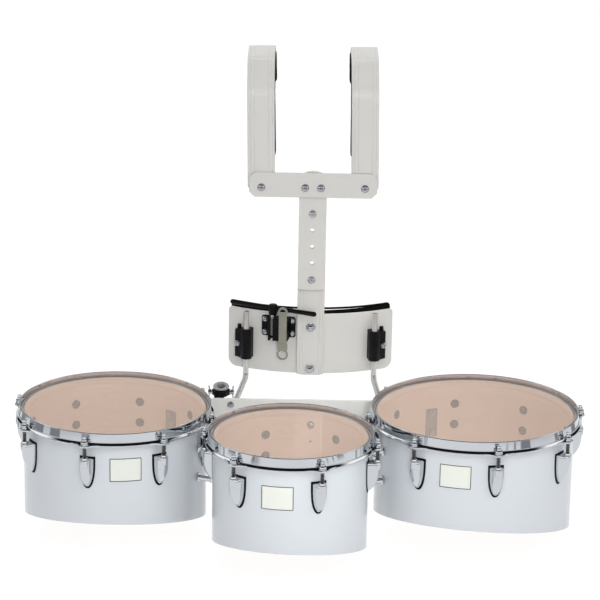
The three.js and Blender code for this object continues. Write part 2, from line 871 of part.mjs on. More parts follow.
function bellyPadSolid() {
  const outer = bellyRadius - bellyThickness - seatGap;
  const top = bellyTop + bellyPadRise;
  const bottom = bellyTop - bellyHeight - bellyPadDrop;
  const middle = (top + bottom) / 2;
  const half = (top - bottom) / 2;
  const endRound = bellyPadThickness / outer;
  const rings = spread(-bellyHalfAngle, bellyHalfAngle, bellySteps).map((angle) => {
    const inside = Math.min((bellyHalfAngle - Math.abs(angle)) / endRound, 1);
    const swell = 0.45 + 0.55 * Math.sqrt(inside * (2 - inside));
    const thickness = bellyPadThickness * swell;
    const height = half * (0.9 + 0.1 * Math.sqrt(inside * (2 - inside)));
    return cushionShares.map(([deep, across]) =>
      bellyPoint(angle, outer - deep * thickness, middle + across * height),
    );
  });
  return loft(rings, cushionOutline);
}

// Masts and cross plate

// Front edge of a grooved bar, left to right, as widths and depths behind its face
function groovedEdge(width, inset, pitch) {
  const half = width / 2;
  const offsets = [-half + inset, -half + inset + pitch, half - inset - pitch, half - inset];
  return offsets.flatMap((offset) => [
    at(offset - grooveWidth / 2, 0),
    at(offset, grooveDepth),
    at(offset + grooveWidth / 2, 0),
  ]);
}

// Front view of a bar with bulging ends and a row of holes
function barShape(width, bottom, top, bottomRise, topRise, holeHeights) {
  const half = width / 2;
  const shape = new THREE.Shape();
  shape.moveTo(-half, bottom + bottomRise);
  shape.quadraticCurveTo(0, bottom - bottomRise, half, bottom + bottomRise);
  shape.lineTo(half, top - topRise);
  shape.quadraticCurveTo(0, top + topRise, -half, top - topRise);
  shape.closePath();
  shape.holes = holeHeights.map((height) => {
    const hole = new THREE.Path();
    hole.absarc(0, height, boltHole / 2, 0, 2 * Math.PI, true);
    return hole;
  });
  return shape;
}

const adjustingHoles = Array.from({ length: stripHoleCount }, (_, i) => topHoleHeight - i * stripHolePitch);
const plateAtMastEdge = bellyCentreY - Math.sqrt(bellyRadius ** 2 - (mastWidth / 2) ** 2);
const mastFront = plateAtMastEdge - seatGap - mastChannelDepth;
const stripFront = mastFront - seatGap - stripThickness;
const crossFront = stripFront - seatGap - crossThickness;

// Lower mast: a grooved channel, open towards the belly plate
function lowerMastSolid() {
  const half = mastWidth / 2;
  const section = [
    at(-half, mastChannelDepth),
    at(-half, 0),
    ...groovedEdge(mastWidth, mastGrooveInset, mastGroovePitch),
    at(half, 0),
    at(half, mastChannelDepth),
    at(half - mastWall, mastChannelDepth),
    at(half - mastWall, mastWall),
    at(-half + mastWall, mastWall),
    at(-half + mastWall, mastChannelDepth),
  ];
  const length = mastTop - mastBottom + 2 * cutOverrun;
  const channel = prism(section, length).translate(0, 0, mastBottom - cutOverrun);
  const frontView = barShape(mastWidth + cutOverrun, mastBottom, mastTop, mastEndRise, 0, adjustingHoles);
  return shared(channel, upright(frontView, mastChannelDepth + cutOverrun, 4));
}

function upperMastSolid() {
  const shape = barShape(mastWidth, stripBottom, stripTop, stripEndRise, stripTopRise, adjustingHoles);
  return upright(shape, stripThickness);
}

function crossPlateSolid() {
  const half = crossWidth / 2;
  const top = crossBottom + crossHeight;
  const outline = [
    at(-half + crossChamfer, crossBottom),
    at(half - crossChamfer, crossBottom),
    at(half, crossBottom + crossChamfer),
    at(half, top - crossChamfer),
    at(half - crossChamfer, top),
    at(-half + crossChamfer, top),
    at(-half, top - crossChamfer),
    at(-half, crossBottom + crossChamfer),
  ];
  return upright(outline, crossThickness);
}

// Shoulder bars and pads

// Side view of the hook, as corners of the bar's outer face: front leg, slope, top and rear leg
const slopeRun = (hookTop - hookBendHeight) / Math.tan(radians(90 - hookFrontTurn));
const hookCorners = [
  { y: 0, z: hookBendHeight, from: 0, to: hookFrontTurn },
  { y: slopeRun, z: hookTop, from: hookFrontTurn, to: 90 },
  { y: hookDepth, z: hookTop, from: 90, to: 180 },
];

// Stations round a corner: place of the outer face, and how far the bar has turned back from upright
function cornerStations({ y, z, from, to }) {
  const middle = radians((from + to) / 2);
  const reach = hookBendRadius / Math.cos(radians((to - from) / 2));
  const centreY = y + reach * Math.cos(middle);
  const centreZ = z - reach * Math.sin(middle);
  return spread(radians(from), radians(to), (bendSteps * (to - from)) / hookFrontTurn).map((turn) => ({
    y: stripFront + centreY - hookBendRadius * Math.cos(turn),
    z: centreZ + hookBendRadius * Math.sin(turn),
    turn,
  }));
}

function hookStations(frontEnd, rearEnd) {
  const front = { y: stripFront, z: frontEnd, turn: 0 };
  const rear = { y: stripFront + hookDepth, z: rearEnd, turn: Math.PI };
  return [front, ...hookCorners.flatMap(cornerStations), rear];
}

// Point at a depth below a station's outer face
function hookPoint(station, across, depth) {
  const y = station.y + depth * Math.cos(station.turn);
  const z = station.z - depth * Math.sin(station.turn);
  return new THREE.Vector3(across, y, z);
}

// Grooved bar, bent over the shoulder, with its lower corners cut off
function shoulderBarSolid() {
  const half = barWidth / 2;
  const section = [
    at(-half, barThickness),
    at(-half, 0),
    ...groovedEdge(barWidth, barGrooveInset, barGroovePitch),
    at(half, 0),
    at(half, barThickness),
  ];
  const rings = hookStations(barBottom, rearLegEnd).map((station) =>
    section.map((point) => hookPoint(station, point.x, point.y)),
  );
  const corners = [-1, 1].map((end) => {
    const size = barEndChamfer * Math.SQRT2;
    const corner = block(size, barThickness + 2 * cutOverrun, size).rotateY(radians(45));
    return corner.translate(end * half, stripFront + barThickness / 2, barBottom);
  });
  return cut(loft(rings, section), ...corners);
}

// Cushion under the hook, with a crown, drawn-in sides and rounded ends
function shoulderPadSolid(side) {
  const path = hookStations(padFrontEnd, padRearEnd);
  const [front, rear] = [path[0], path[path.length - 1]];
  const fullFront = { ...front, z: padFrontEnd + padEndTaper };
  const fullRear = { ...rear, z: padRearEnd + padEndTaper };
  const stations = [front, fullFront, ...path.slice(1, -1), fullRear, rear];
  const rings = stations.map((station, i) => {
    const isEnd = i === 0 || i === stations.length - 1;
    const swell = isEnd ? padEdgeThickness / padThickness : 1;
    return cushionShares.map(([deep, across]) => {
      const depth = barThickness + seatGap + deep * padThickness * swell;
      const half = (padWidth / 2) * (0.94 + 0.06 * swell);
      return hookPoint(station, across * half - side * padShift, depth);
    });
  });
  return loft(rings, cushionOutline);
}

// Rod clamp, built with the plate's face as its back plane and the rod on its own axis
function rodClampSolid(side) {
  const tube = post(clampTubeDiameter, clampHeight, holeFacets).translate(0, -clampRodStand, 0);
  const neck = block(clampNeckWidth, clampRodStand - seatGap, clampHeight);
  neck.translate(0, -(clampRodStand + seatGap) / 2, clampHeight / 2);
  const reach = clampTubeDiameter / 2 + clampLugReach;
  const lug = block(reach, clampLugThickness, clampLugHeight);
  const lugMiddle = clampHeight - clampLugDrop - clampLugHeight / 2;
  lug.translate((side * reach) / 2, -clampRodStand + clampLugThickness / 4, lugMiddle);
  const bore = post(hangerDiameter + 2 * seatGap, clampHeight + 2 * cutOverrun, tubeFacets);
  bore.translate(0, -clampRodStand, -cutOverrun);
  return cut(join(tube, neck, lug), bore);
}

// Tools

function onBellyPlate(spreadFromMiddle) {
  const angle = Math.asin(spreadFromMiddle / bellyRadius);
  const foot = bellyPoint(angle, bellyRadius, 0);
  return groupAt(foot.x, foot.y, 0, angle);
}

// Holder: a plate with two ears and a body that has a channel for each tool
function holderSolid() {
  const bottom = holderTop - holderHeight;
  const half = holderWidth / 2;
  const bodyHalf = holderBodyWidth / 2;
  const outline = [
    at(-half, bottom),
    at(holderBodyShift - bodyHalf, bottom),
    at(holderBodyShift - bodyHalf, bottom - holderBodyDrop),
    at(holderBodyShift + bodyHalf, bottom - holderBodyDrop),
    at(holderBodyShift + bodyHalf, bottom),
    at(half, bottom),
    at(half, holderTop),
    at(-half, holderTop),
  ];
  const sag = bellyRadius - Math.sqrt(bellyRadius ** 2 - half ** 2);
  const plate = upright(outline, holderPlateThickness).translate(0, -holderPlateThickness - seatGap, 0);
  const bodyHeight = holderHeight + holderBodyDrop;
  const body = block(holderBodyWidth, holderBodyDepth, bodyHeight);
  body.translate(holderBodyShift, -seatGap - holderBodyDepth / 2, bottom - holderBodyDrop + bodyHeight / 2);
  const keyWidth = keyShaftDiameter + 2 * seatGap;
  const channelHeight = bodyHeight + 2 * cutOverrun;
  const channelMiddle = bottom - holderBodyDrop + bodyHeight / 2;
  const keyDepth = holderBodyDepth - keyStand + keyWidth / 2 + cutOverrun;
  const keyChannel = block(keyWidth, keyDepth, channelHeight);
  keyChannel.translate(keySpread, -keyStand + keyWidth / 2 - keyDepth / 2, channelMiddle);
  const slot = spannerThickness + 2 * seatGap;
  const spannerWidth = spannerNeckWidth + 2 * seatGap;
  const front = spannerStand + seatGap;
  const spannerChannel = block(spannerWidth, slot + cutOverrun, channelHeight);
  spannerChannel.translate(spannerSpread, -front + slot - (slot + cutOverrun) / 2, channelMiddle);
  const relief = block(holderWidth + cutOverrun, sag, channelHeight);
  relief.translate(0, sag / 2 - seatGap, channelMiddle);
  return cut(join(plate, body), keyChannel, spannerChannel, relief);
}

// Hex key with a long handle through its hub
function hexKeySolid() {
  const hubBottom = keyHandleHeight - keyHubHeight * 0.65;
  const shaft = post(keyShaftDiameter, keyShaftLength + keyHubHeight / 2, rodFacets);
  shaft.translate(0, 0, hubBottom - keyShaftLength + keyHubHeight / 2);
  const hub = post(keyHubDiameter, keyHubHeight, tubeFacets).translate(0, 0, hubBottom);
  const taper = keyHandleDiameter / 4;
  const profile = [
    at(0, 0),
    at(keyHandleDiameter / 2 - taper, 0),
    at(keyHandleDiameter / 2, taper),
    at(keyHandleDiameter / 2, keyHandleLength - taper),
    at(keyHandleDiameter / 2 - taper, keyHandleLength),
    at(0, keyHandleLength),
  ];
  const handle = revolve(profile, tubeFacets).translate(0, 0, -keyHandleLength / 2);
  handle.rotateY(quarterTurn).rotateZ(-radians(keyHandleTurn)).translate(0, 0, keyHandleHeight);
  return join(shaft, hub, handle);
}

// Flat spanner: a ring above, a shank that narrows, and a disc below
function spannerSolid() {
  const shape = new THREE.Shape();
  const ringHalf = spannerNeckWidth / 2;
  const waistHalf = spannerWaistWidth / 2;
  const ringRadius = spannerRingDiameter / 2;
  const discRadius = spannerDiscDiameter / 2;
  const ringStart = Math.acos(ringHalf / ringRadius);
  const discStart = Math.acos(waistHalf / discRadius);
  shape.moveTo(waistHalf, spannerDiscHeight + discRadius * Math.sin(discStart));
  shape.absarc(0, spannerRingHeight, ringRadius, -ringStart, Math.PI + ringStart, false);
  shape.absarc(0, spannerDiscHeight, discRadius, Math.PI - discStart, 2 * Math.PI + discStart, false);
  const hole = new THREE.Path();
  hole.absarc(0, spannerRingHeight, spannerRingHole / 2, 0, 2 * Math.PI, true);
  shape.holes = [hole];
  return upright(shape, spannerThickness).translate(0, -spannerStand, 0);
}

function toolGroup() {
  const group = onBellyPlate(holderSpread);
  group.add(piece("tool_holder", holderSolid(), finishes.blackPlastic));
  const key = piece("hex_key", hexKeySolid(), finishes.blackPlastic);
  key.position.set(keySpread, -keyStand, 0);
  const spanner = piece("spanner", spannerSolid(), finishes.steel);
  spanner.position.x = spannerSpread;
  group.add(key, spanner);
  return group;
}

// Assembly

const tenors = new THREE.Group();
const sides = [["left", -1], ["right", 1]];

["left", "centre", "right"].forEach((side) => tenors.add(drumGroup(side)));
tenors.add(...spacers("left"), ...spacers("right"));
tenors.add(piece("rail", railSolid(), finishes.whitePaint));
tenors.add(piece("backing_plate_left", backingSolid(drums.left, leftWingBearing), finishes.steel));
tenors.add(piece("backing_plate_right", backingSolid(drums.right, rightWingBearing), finishes.steel));
tenors.add(clipGroup());

sides.forEach(([side, sign]) => {
  const rod = piece(`bent_rod_${side}`, hangerSolid(hangers[side]), finishes.chrome);
  rod.position.set(hangers[side].x, hangerY, 0);
  rod.rotation.z = Math.atan2(hangers[side].direction.x, -hangers[side].direction.y);
  const clamp = piece(`rod_clamp_${side}`, rodClampSolid(sign), finishes.blackPlastic);
  const foot = bellyPoint(sign * clampAngle, bellyRadius, clampTop - clampHeight);
  clamp.position.copy(foot);
  clamp.rotation.z = sign * clampAngle;
  tenors.add(rod, clamp);
});

tenors.add(piece("belly_plate", bellyPlateSolid(), finishes.whitePaint));
tenors.add(piece("belly_pad", bellyPadSolid(), finishes.foam));
tenors.add(toolGroup());

const lowerMast = piece("mast_lower", lowerMastSolid(), finishes.whitePaint);
lowerMast.position.y = mastFront;
const upperMast = piece("mast_upper", upperMastSolid(), finishes.whitePaint);
upperMast.position.y = stripFront;
const crossPlate = piece("cross_plate", crossPlateSolid(), finishes.whitePaint);
crossPlate.position.y = crossFront;
tenors.add(lowerMast, upperMast, crossPlate);

sides.forEach(([side, sign]) => {
  const pivot = groupAt(sign * barSpread, 0, crossBoltHeight);
  pivot.rotation.y = -radians(barLean);
  const bar = piece(`shoulder_bar_${side}`, shoulderBarSolid(), finishes.whitePaint);
  const pad = piece(`shoulder_pad_${side}`, shoulderPadSolid(sign), finishes.foam);
  bar.position.z = -crossBoltHeight;
  pad.position.z = -crossBoltHeight;
  pivot.add(bar, pad);
  tenors.add(pivot);
});

const restHeight = hookTop - barThickness - seatGap - padThickness;
tenors.position.set(0, -stripFront - hookDepth / 2, -restHeight);

export default tenors;
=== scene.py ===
import bmesh
import bpy
import numpy as np
from mathutils import Matrix, Vector


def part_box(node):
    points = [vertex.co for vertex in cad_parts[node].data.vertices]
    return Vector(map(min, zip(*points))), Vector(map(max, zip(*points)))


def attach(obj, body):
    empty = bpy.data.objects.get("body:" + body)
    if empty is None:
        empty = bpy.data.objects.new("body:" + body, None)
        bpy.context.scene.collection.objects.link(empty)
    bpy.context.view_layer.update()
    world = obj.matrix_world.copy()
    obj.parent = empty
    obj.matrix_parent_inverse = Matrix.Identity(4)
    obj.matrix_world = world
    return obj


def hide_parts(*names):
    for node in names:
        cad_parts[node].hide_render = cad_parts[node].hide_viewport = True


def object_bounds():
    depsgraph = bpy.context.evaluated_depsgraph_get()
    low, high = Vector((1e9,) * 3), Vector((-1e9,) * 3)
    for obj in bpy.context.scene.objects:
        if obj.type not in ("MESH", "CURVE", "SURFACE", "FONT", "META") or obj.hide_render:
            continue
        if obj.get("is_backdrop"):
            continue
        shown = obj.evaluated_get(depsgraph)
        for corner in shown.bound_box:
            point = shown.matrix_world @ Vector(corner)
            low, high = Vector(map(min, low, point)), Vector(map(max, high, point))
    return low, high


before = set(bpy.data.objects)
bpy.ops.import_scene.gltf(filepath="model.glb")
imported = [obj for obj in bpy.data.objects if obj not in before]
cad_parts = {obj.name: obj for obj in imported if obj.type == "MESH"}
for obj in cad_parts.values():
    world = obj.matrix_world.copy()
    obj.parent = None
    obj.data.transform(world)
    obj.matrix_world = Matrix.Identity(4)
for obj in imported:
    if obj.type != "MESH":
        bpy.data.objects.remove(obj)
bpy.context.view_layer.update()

bl_info = {
    "name": "Marching Tenor Drums",
    "version": (1, 0, 0),
    "blender": (4, 5, 0),
    "location": "View3D > Sidebar > Tenors",
    "description": "Builds three marching drums and their shoulder carrier round the packed model",
    "category": "Object",
}

SIDES = ("left", "centre", "right")
HANDS = (("left", -1), ("right", 1))
HOOP_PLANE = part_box("hoop_centre")[1].z
DRUM_LINE = sum(corner.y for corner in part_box("shell_centre")) / 2
ORIGIN = np.array([0.0, DRUM_LINE, HOOP_PLANE])
UP = np.array([0.0, 0.0, 1.0])
RIGHT = np.array([1.0, 0.0, 0.0])
BACK = np.array([0.0, 1.0, 0.0])

# What differs from drum to drum: the number of lugs, the bearings of the first lug, of the bare plate,
# of the rail's fixing and of the joint in the wood, and how far the slanted edge's fall is turned from
# the player towards +X, all in degrees. A bearing is 0 towards the audience and 90 towards +X.
DRUM_LAYOUT = {
    "left": dict(lugs=8, first_lug=-13, cut_turn=2, badge=10.4, badge_drop=0.064, fixing=142.5, seam=None),
    "centre": dict(lugs=6, first_lug=-39, cut_turn=8, badge=-8.9, badge_drop=0.0695, fixing=None, seam=155.2),
    "right": dict(lugs=8, first_lug=-36, cut_turn=15, badge=-13.7, badge_drop=0.064, fixing=204.5, seam=None),
}
# How steeply the slanted edge falls, in degrees
SLANT = 13.6
# The vent in the centre shell, the rivet below it, and the two screws inside each lug
VENT_BEARING, VENT_DROP, RIVET_DROP = 164.2, 0.0314, 0.0603
LUG_SCREW_DROPS = (0.0483, 0.0853)


# Sizes and colours that a user would change


def length(name, default, description):
    return bpy.props.FloatProperty(
        name=name, description=description, default=default, min=0.0, unit="LENGTH", precision=4
    )


def linear(red, green, blue):
    """Screen colour of 0 to 255, made linear."""
    share = np.array([red, green, blue]) / 255
    return tuple(np.where(share <= 0.04045, share / 12.92, ((share + 0.055) / 1.055) ** 2.4))


def colour(name, shade, description):
    return bpy.props.FloatVectorProperty(
        name=name, description=description, default=linear(*shade), min=0.0, max=1.0, size=3, subtype="COLOR"
    )


class TenorDrumSizes(bpy.types.PropertyGroup):
    left_radius: length("Left shell radius", 0.151, "Outer radius of the left shell")
    centre_radius: length("Centre shell radius", 0.126, "Outer radius of the centre shell")
    right_radius: length("Right shell radius", 0.164, "Outer radius of the right shell")
    wall: length("Shell wall", 0.008, "Thickness of the plywood")
    shell_depth: length("Shell depth", 0.1946, "Hoop plane to the slanted edge, on the axis")
    film_drop: length("Film drop", 0.0068, "Hoop plane to the film")
    hoop_height: length("Hoop height", 0.0208, "Height of a counterhoop")
    rod_offset: length("Rod offset", 0.0155, "Tension rod's axis from the shell")
    lug_top: length("Lug top", 0.044, "Hoop plane to the shoulder of a lug casing")
    lug_length: length("Lug length", 0.0506, "Shoulder to point of a lug casing")
    lug_width: length("Lug width", 0.022, "Width of a lug casing")
    lug_reach: length("Lug reach", 0.0205, "How far a lug casing stands off the shell")
    washer_width: length("Washer width", 0.015, "Width of the washers inside the shells")
    badge_width: length("Plate width", 0.052, "Width of the bare plate on each shell")
    badge_height: length("Plate height", 0.04, "Height of the bare plate on each shell")


class TenorCarrierSizes(bpy.types.PropertyGroup):
    mast_width: length("Mast width", 0.047, "Width of both masts")
    bar_width: length("Bar width", 0.0465, "Width of a shoulder bar")
    bar_thickness: length("Bar thickness", 0.007, "Thickness of a shoulder bar")
    rod_diameter: length("Bent rod diameter", 0.01, "Diameter of a bent rod")
    pad_thickness: length("Shoulder pad thickness", 0.016, "Thickness of a shoulder pad")
    belly_pad_thickness: length("Belly pad thickness", 0.015, "Thickness of the belly pad")
    bolt_width: length("Bolt width", 0.0135, "Width of a carrier bolt's head")


class TenorFinishes(bpy.types.PropertyGroup):
    lacquer: colour("Lacquer", (219, 223, 227), "Gloss lacquer on the shells")
    wood: colour("Wood", (246, 219, 199), "Bare wood inside the shells")
    film: colour("Film", (246, 229, 216), "Haze of the clear heads")
    coat: colour("Powder coat", (219, 217, 212), "White powder coat of the carrier")
    chrome: colour("Chrome", (214, 217, 221), "Chrome plating")
    steel: colour("Steel", (158, 155, 145), "Plain steel")
    black: colour("Black", (9, 9, 10), "Moulded plastic and padding")
    ivory: colour("Plates", (239, 241, 231), "The bare plates on the shells")


def drum_sizes():
    return bpy.context.scene.tenor_drums


def carrier_sizes():
    return bpy.context.scene.tenor_carrier


def finish_colours():
    return bpy.context.scene.tenor_finishes


# Arrays of points


def unit(vectors):
    """Vectors divided by their lengths."""
    return vectors / np.linalg.norm(vectors, axis=-1, keepdims=True)


def row(*point):
    """A point's width, depth and height in the row, moved into the frame."""
    return np.array(point, float) + ORIGIN


def direction(bearing):
    """Level unit vector (sin b, -cos b, 0) of a bearing in degrees."""
    turn = np.radians(bearing)
    return np.stack([np.sin(turn), -np.cos(turn), np.zeros_like(turn)], -1)


def distinct(outline):
    """A closed outline without neighbours that coincide."""
    gap = np.linalg.norm(outline - np.roll(outline, 1, 0), axis=1)
    return outline[gap > 1e-7]


def rounded(corners, radius, steps=4):
    """A closed outline whose corners become arcs. With c the corner, a and b the points where the arc
    meets its two sides and w the sine of half the corner's angle, a point of the arc is
    ((1-t)^2 a + 2t(1-t)w c + t^2 b) / ((1-t)^2 + 2t(1-t)w + t^2)."""
    corners = distinct(np.asarray(corners, float))
    to_last = unit(np.roll(corners, 1, 0) - corners)
    to_next = unit(np.roll(corners, -1, 0) - corners)
    half = np.arccos(np.clip((to_last * to_next).sum(1), -1, 1)) / 2
    reach = (np.broadcast_to(radius, half.shape) / np.tan(half))[:, None]
    start, end = corners + to_last * reach, corners + to_next * reach
    t = np.linspace(0, 1, steps + 1)[None, :, None]
    middle = 2 * t * (1 - t) * np.sin(half)[:, None, None]
    arcs = (1 - t) ** 2 * start[:, None] + middle * corners[:, None] + t**2 * end[:, None]
    return distinct((arcs / ((1 - t) ** 2 + middle + t**2)).reshape(-1, 2))


def circle(radius, count):
    """Points radius (cos a, sin a) round a closed outline."""
    turn = np.linspace(0, 2 * np.pi, count, endpoint=False)
    return radius * np.stack([np.cos(turn), np.sin(turn)], -1)


def rectangle(width, height):
    """Corners (-+ width / 2, -+ height / 2) about the middle."""
    return np.array([[-1, -1], [1, -1], [1, 1], [-1, 1]]) * (width / 2, height / 2)


def mm(*points):
    """Corners of a profile or outline, given in millimetres."""
    return np.array(points, float) / 1000


def tube(inner, outer, low, high):
    """Profile of a plain tube, or of a round bar if its inner radius is 0."""
    return [(inner, low), (outer, low), (outer, high), (inner, high)]


def eased(count):
    """Numbers from -1 to 1 that crowd towards both ends: sin a, with a from -90 to 90 degrees."""
    return np.sin(np.linspace(-np.pi / 2, np.pi / 2, count))


def round_end(distance, radius):
    """Share of the full thickness at a distance d from a rounded end: sqrt(1 - (1 - d / radius)^2)."""
    return np.sqrt((1 - (1 - (distance / radius).clip(0, 1)) ** 2).clip(0, 1))


def anticlockwise(outline):
    """An outline turned round if its area, half the sum of x1 y2 - y1 x2 over its sides, is negative."""
    x, y = outline.T
    twice_area = (x * np.roll(y, -1) - np.roll(x, -1) * y).sum()
    return outline if twice_area > 0 else outline[::-1]


def inset(outline, distance):
    """An anticlockwise outline moved inwards: corner + distance (n1 + n2) / (1 + n1.n2), with n1 and
    n2 the inward normals of its two sides."""
    step = unit(np.roll(outline, -1, 0) - outline)
    after = np.stack([-step[:, 1], step[:, 0]], -1)
    before = np.roll(after, 1, 0)
    return outline + distance * (after + before) / (1 + (after * before).sum(1, keepdims=True))


def divided(outline, count):
    """A closed outline with each of its sides cut into equal steps."""
    sides = zip(outline, np.roll(outline, -1, 0))
    return np.concatenate([np.linspace(start, end, count, endpoint=False) for start, end in sides])


def arc_points(centre, radius, start, end, steps):
    """Points centre + radius (cos a, sin a) from one angle to another, in degrees."""
    turn = np.radians(np.linspace(start, end, steps + 1))
    return np.asarray(centre) + radius * np.stack([np.cos(turn), np.sin(turn)], -1)


# Patches of mesh: points with the faces between them


def patch(points, loop_rows=False, caps=True):
    """Quads between neighbours of a grid (rows, columns, 3) whose rows are closed loops, or of a stack
    of like grids, with a flat cap on its first and last row."""
    points = np.asarray(points, float)
    points = points.reshape((-1,) + points.shape[-3:])
    copies, rows, columns = points.shape[:3]
    first_row = np.arange(rows - (not loop_rows))
    r, c = np.meshgrid(first_row, np.arange(columns), indexing="ij")
    below, beside = (r + 1) % rows, (c + 1) % columns
    corners = [r * columns + c, r * columns + beside, below * columns + beside, below * columns + c]
    starts = np.arange(copies)[:, None] * rows * columns
    quads = np.stack(corners, -1).reshape(1, -1, 4) + starts[..., None]
    faces = quads.reshape(-1, 4).tolist()
    if caps:
        ring = np.arange(columns)
        faces += (starts + ring[::-1]).tolist() + (starts + (rows - 1) * columns + ring).tolist()
    return points.reshape(-1, 3), faces


def turned(profile, places, axes=UP, segments=32):
    """A profile of radii and heights turned round axes: place + radius (u cos a + v sin a) + height
    axis, with u and v across the axis. A radius may be a row of radii, one for each angle."""
    places = np.atleast_2d(np.asarray(places, float))
    axes = unit(np.broadcast_to(np.asarray(axes, float), places.shape))
    helper = np.where(np.abs(axes[:, 2:]) > 0.9, BACK, UP)
    across = unit(np.cross(helper, axes))
    along = np.cross(axes, across)
    angle = np.linspace(0, 2 * np.pi, segments, endpoint=False)
    round_trip = across[:, None] * np.cos(angle)[:, None] + along[:, None] * np.sin(angle)[:, None]
    radii = np.array([np.broadcast_to(radius, segments) for radius, _ in profile])
    heights = np.array([height for _, height in profile])
    points = places[:, None, None] + radii[None, ..., None] * round_trip[:, None]
    points = points + heights[None, :, None, None] * axes[:, None, None]
    poles = radii[0].max() == 0
    return patch(points, loop_rows=not poles, caps=False)


def bar(section, path, across, up, edge=0.0008, steps=3, start=None, end=None):
    """An outline carried along a path: place + a across + b up. At both ends the outline draws in by
    edge (1 - sin t) while it steps back by edge (1 - cos t), which rounds the edge. start and end
    are how far the end face is cut back at each point of the outline."""
    section = anticlockwise(np.asarray(section, float))
    path = np.asarray(path, float)
    count = len(path)
    across = np.broadcast_to(np.asarray(across, float), (count, 3))
    up = np.broadcast_to(np.asarray(up, float), (count, 3))
    turn = np.linspace(0, np.pi / 2, steps + 1)
    draws = np.concatenate([[1.7 * edge], edge * (1 - np.sin(turn))])
    backs = np.concatenate([[0.0], edge * (1 - np.cos(turn))])
    drawn = np.stack([inset(section, draw) for draw in draws])
    middle = np.broadcast_to(section, (max(count - 2, 0),) + section.shape)
    outlines = np.concatenate([drawn, middle, drawn[::-1]])
    rings = len(draws)
    which = np.concatenate([np.zeros(rings, int), np.arange(1, count - 1), np.full(rings, count - 1)])
    points = path[which][:, None] + outlines[..., :1] * across[which][:, None]
    points = points + outlines[..., 1:] * up[which][:, None]
    ahead, behind = unit(path[1] - path[0]), unit(path[-2] - path[-1])
    first = backs[:, None] + (0 if start is None else start(drawn))
    last = backs[::-1, None] + (0 if end is None else end(drawn[::-1]))
    points[:rings] += np.broadcast_to(first, (rings, len(section)))[..., None] * ahead
    points[-rings:] += np.broadcast_to(last, (rings, len(section)))[..., None] * behind
    return patch(points)


def plate(outline, low, across=RIGHT, up=UP, through=BACK, thickness=0.004, edge=0.0008, steps=3):
    """An outline in the plane of across and up, given a thickness along a third direction."""
    low = np.asarray(low, float)
    return bar(outline, [low, low + thickness * np.asarray(through, float)], across, up, edge, steps)


def spun(parts, degrees, centre):
    """Patches turned about an upright axis through a point."""
    turn = np.radians(degrees)
    matrix = np.array([[np.cos(turn), -np.sin(turn), 0], [np.sin(turn), np.cos(turn), 0], [0, 0, 1]])
    return [((points - centre) @ matrix.T + centre, faces) for points, faces in parts]


# Objects

# Faces that meet at a smaller angle, in degrees, are shaded smooth
SHARP_ANGLE = 35


def tidy_mesh(mesh, sharp):
    """Merges doubles, turns the faces outwards and shades smooth up to an angle in degrees."""
    work = bmesh.new()
    work.from_mesh(mesh)
    bmesh.ops.remove_doubles(work, verts=work.verts, dist=2e-6)
    bmesh.ops.dissolve_degenerate(work, edges=work.edges, dist=1e-7)
    bmesh.ops.recalc_face_normals(work, faces=work.faces)
    work.to_mesh(mesh)
    work.free()
    mesh.shade_smooth()
    mesh.set_sharp_from_angle(angle=np.radians(sharp))


def mesh_object(name, parts, sharp=SHARP_ANGLE):
    """Puts patches into one mesh."""
    vertices, faces, count = [], [], 0
    for points, corners in parts:
        vertices.append(points)
        faces += [[corner + count for corner in face] for face in corners] if count else corners
        count += len(points)
    mesh = bpy.data.meshes.new(name)
    mesh.from_pydata(np.concatenate(vertices).tolist(), [], faces)
    tidy_mesh(mesh, sharp)
    piece = bpy.data.objects.new(name, mesh)
    bpy.context.scene.collection.objects.link(piece)
    return piece


def baked(piece):
    """Applies what modifiers a piece has."""
    scene_graph = bpy.context.evaluated_depsgraph_get()
    mesh = bpy.data.meshes.new_from_object(piece.evaluated_get(scene_graph))
    piece.modifiers.clear()
    piece.data = mesh
    return piece


def drilled(piece, *cutters):
    """Takes the cutters' solids out of a piece."""
    tool = mesh_object("cutter", cutters)
    change = piece.modifiers.new("Holes", "BOOLEAN")
    change.operation, change.solver, change.object = "DIFFERENCE", "EXACT", tool
    change.use_self = True
    baked(piece)
    bpy.data.objects.remove(tool)
    tidy_mesh(piece.data, SHARP_ANGLE)
    return piece


def dress(piece, finish, body, nodes=(), material=None):
    """Gives a piece its finish and its body, and hides the nodes that it stands for."""
    piece.data.materials.clear()
    piece.data.materials.append(material or material_for(finish))
    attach(piece, body)
    if nodes:
        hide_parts(*([nodes] if isinstance(nodes, str) else nodes))
    return piece


def make(name, parts, finish, body, nodes=(), sharp=SHARP_ANGLE):
    """Makes a piece of patches and dresses it."""
    return dress(mesh_object(name, parts, sharp), finish, body, nodes)


# Shader graphs


class Value:
    """A socket that Python's operators join with Math nodes."""

    def __init__(self, graph, socket):
        self.graph, self.socket = graph, socket

    def math(self, operation, *others, swap=False):
        values = [*others, self] if swap else [self, *others]
        return self.graph.add("ShaderNodeMath", {"operation": operation}, dict(enumerate(values)))

    def __add__(self, other):
        return self.math("ADD", other)

    def __sub__(self, other):
        return self.math("SUBTRACT", other)

    def __rsub__(self, other):
        return self.math("SUBTRACT", other, swap=True)

    def __mul__(self, other):
        return self.math("MULTIPLY", other)

    def __truediv__(self, other):
        return self.math("DIVIDE", other)

    def __pow__(self, other):
        return self.math("POWER", other)

    def __gt__(self, other):
        return self.math("GREATER_THAN", other)

    def __lt__(self, other):
        return self.math("LESS_THAN", other)

    __radd__, __rmul__ = __add__, __mul__

    def clamped(self, most=1.0):
        return self.math("MAXIMUM", 0.0).math("MINIMUM", most)


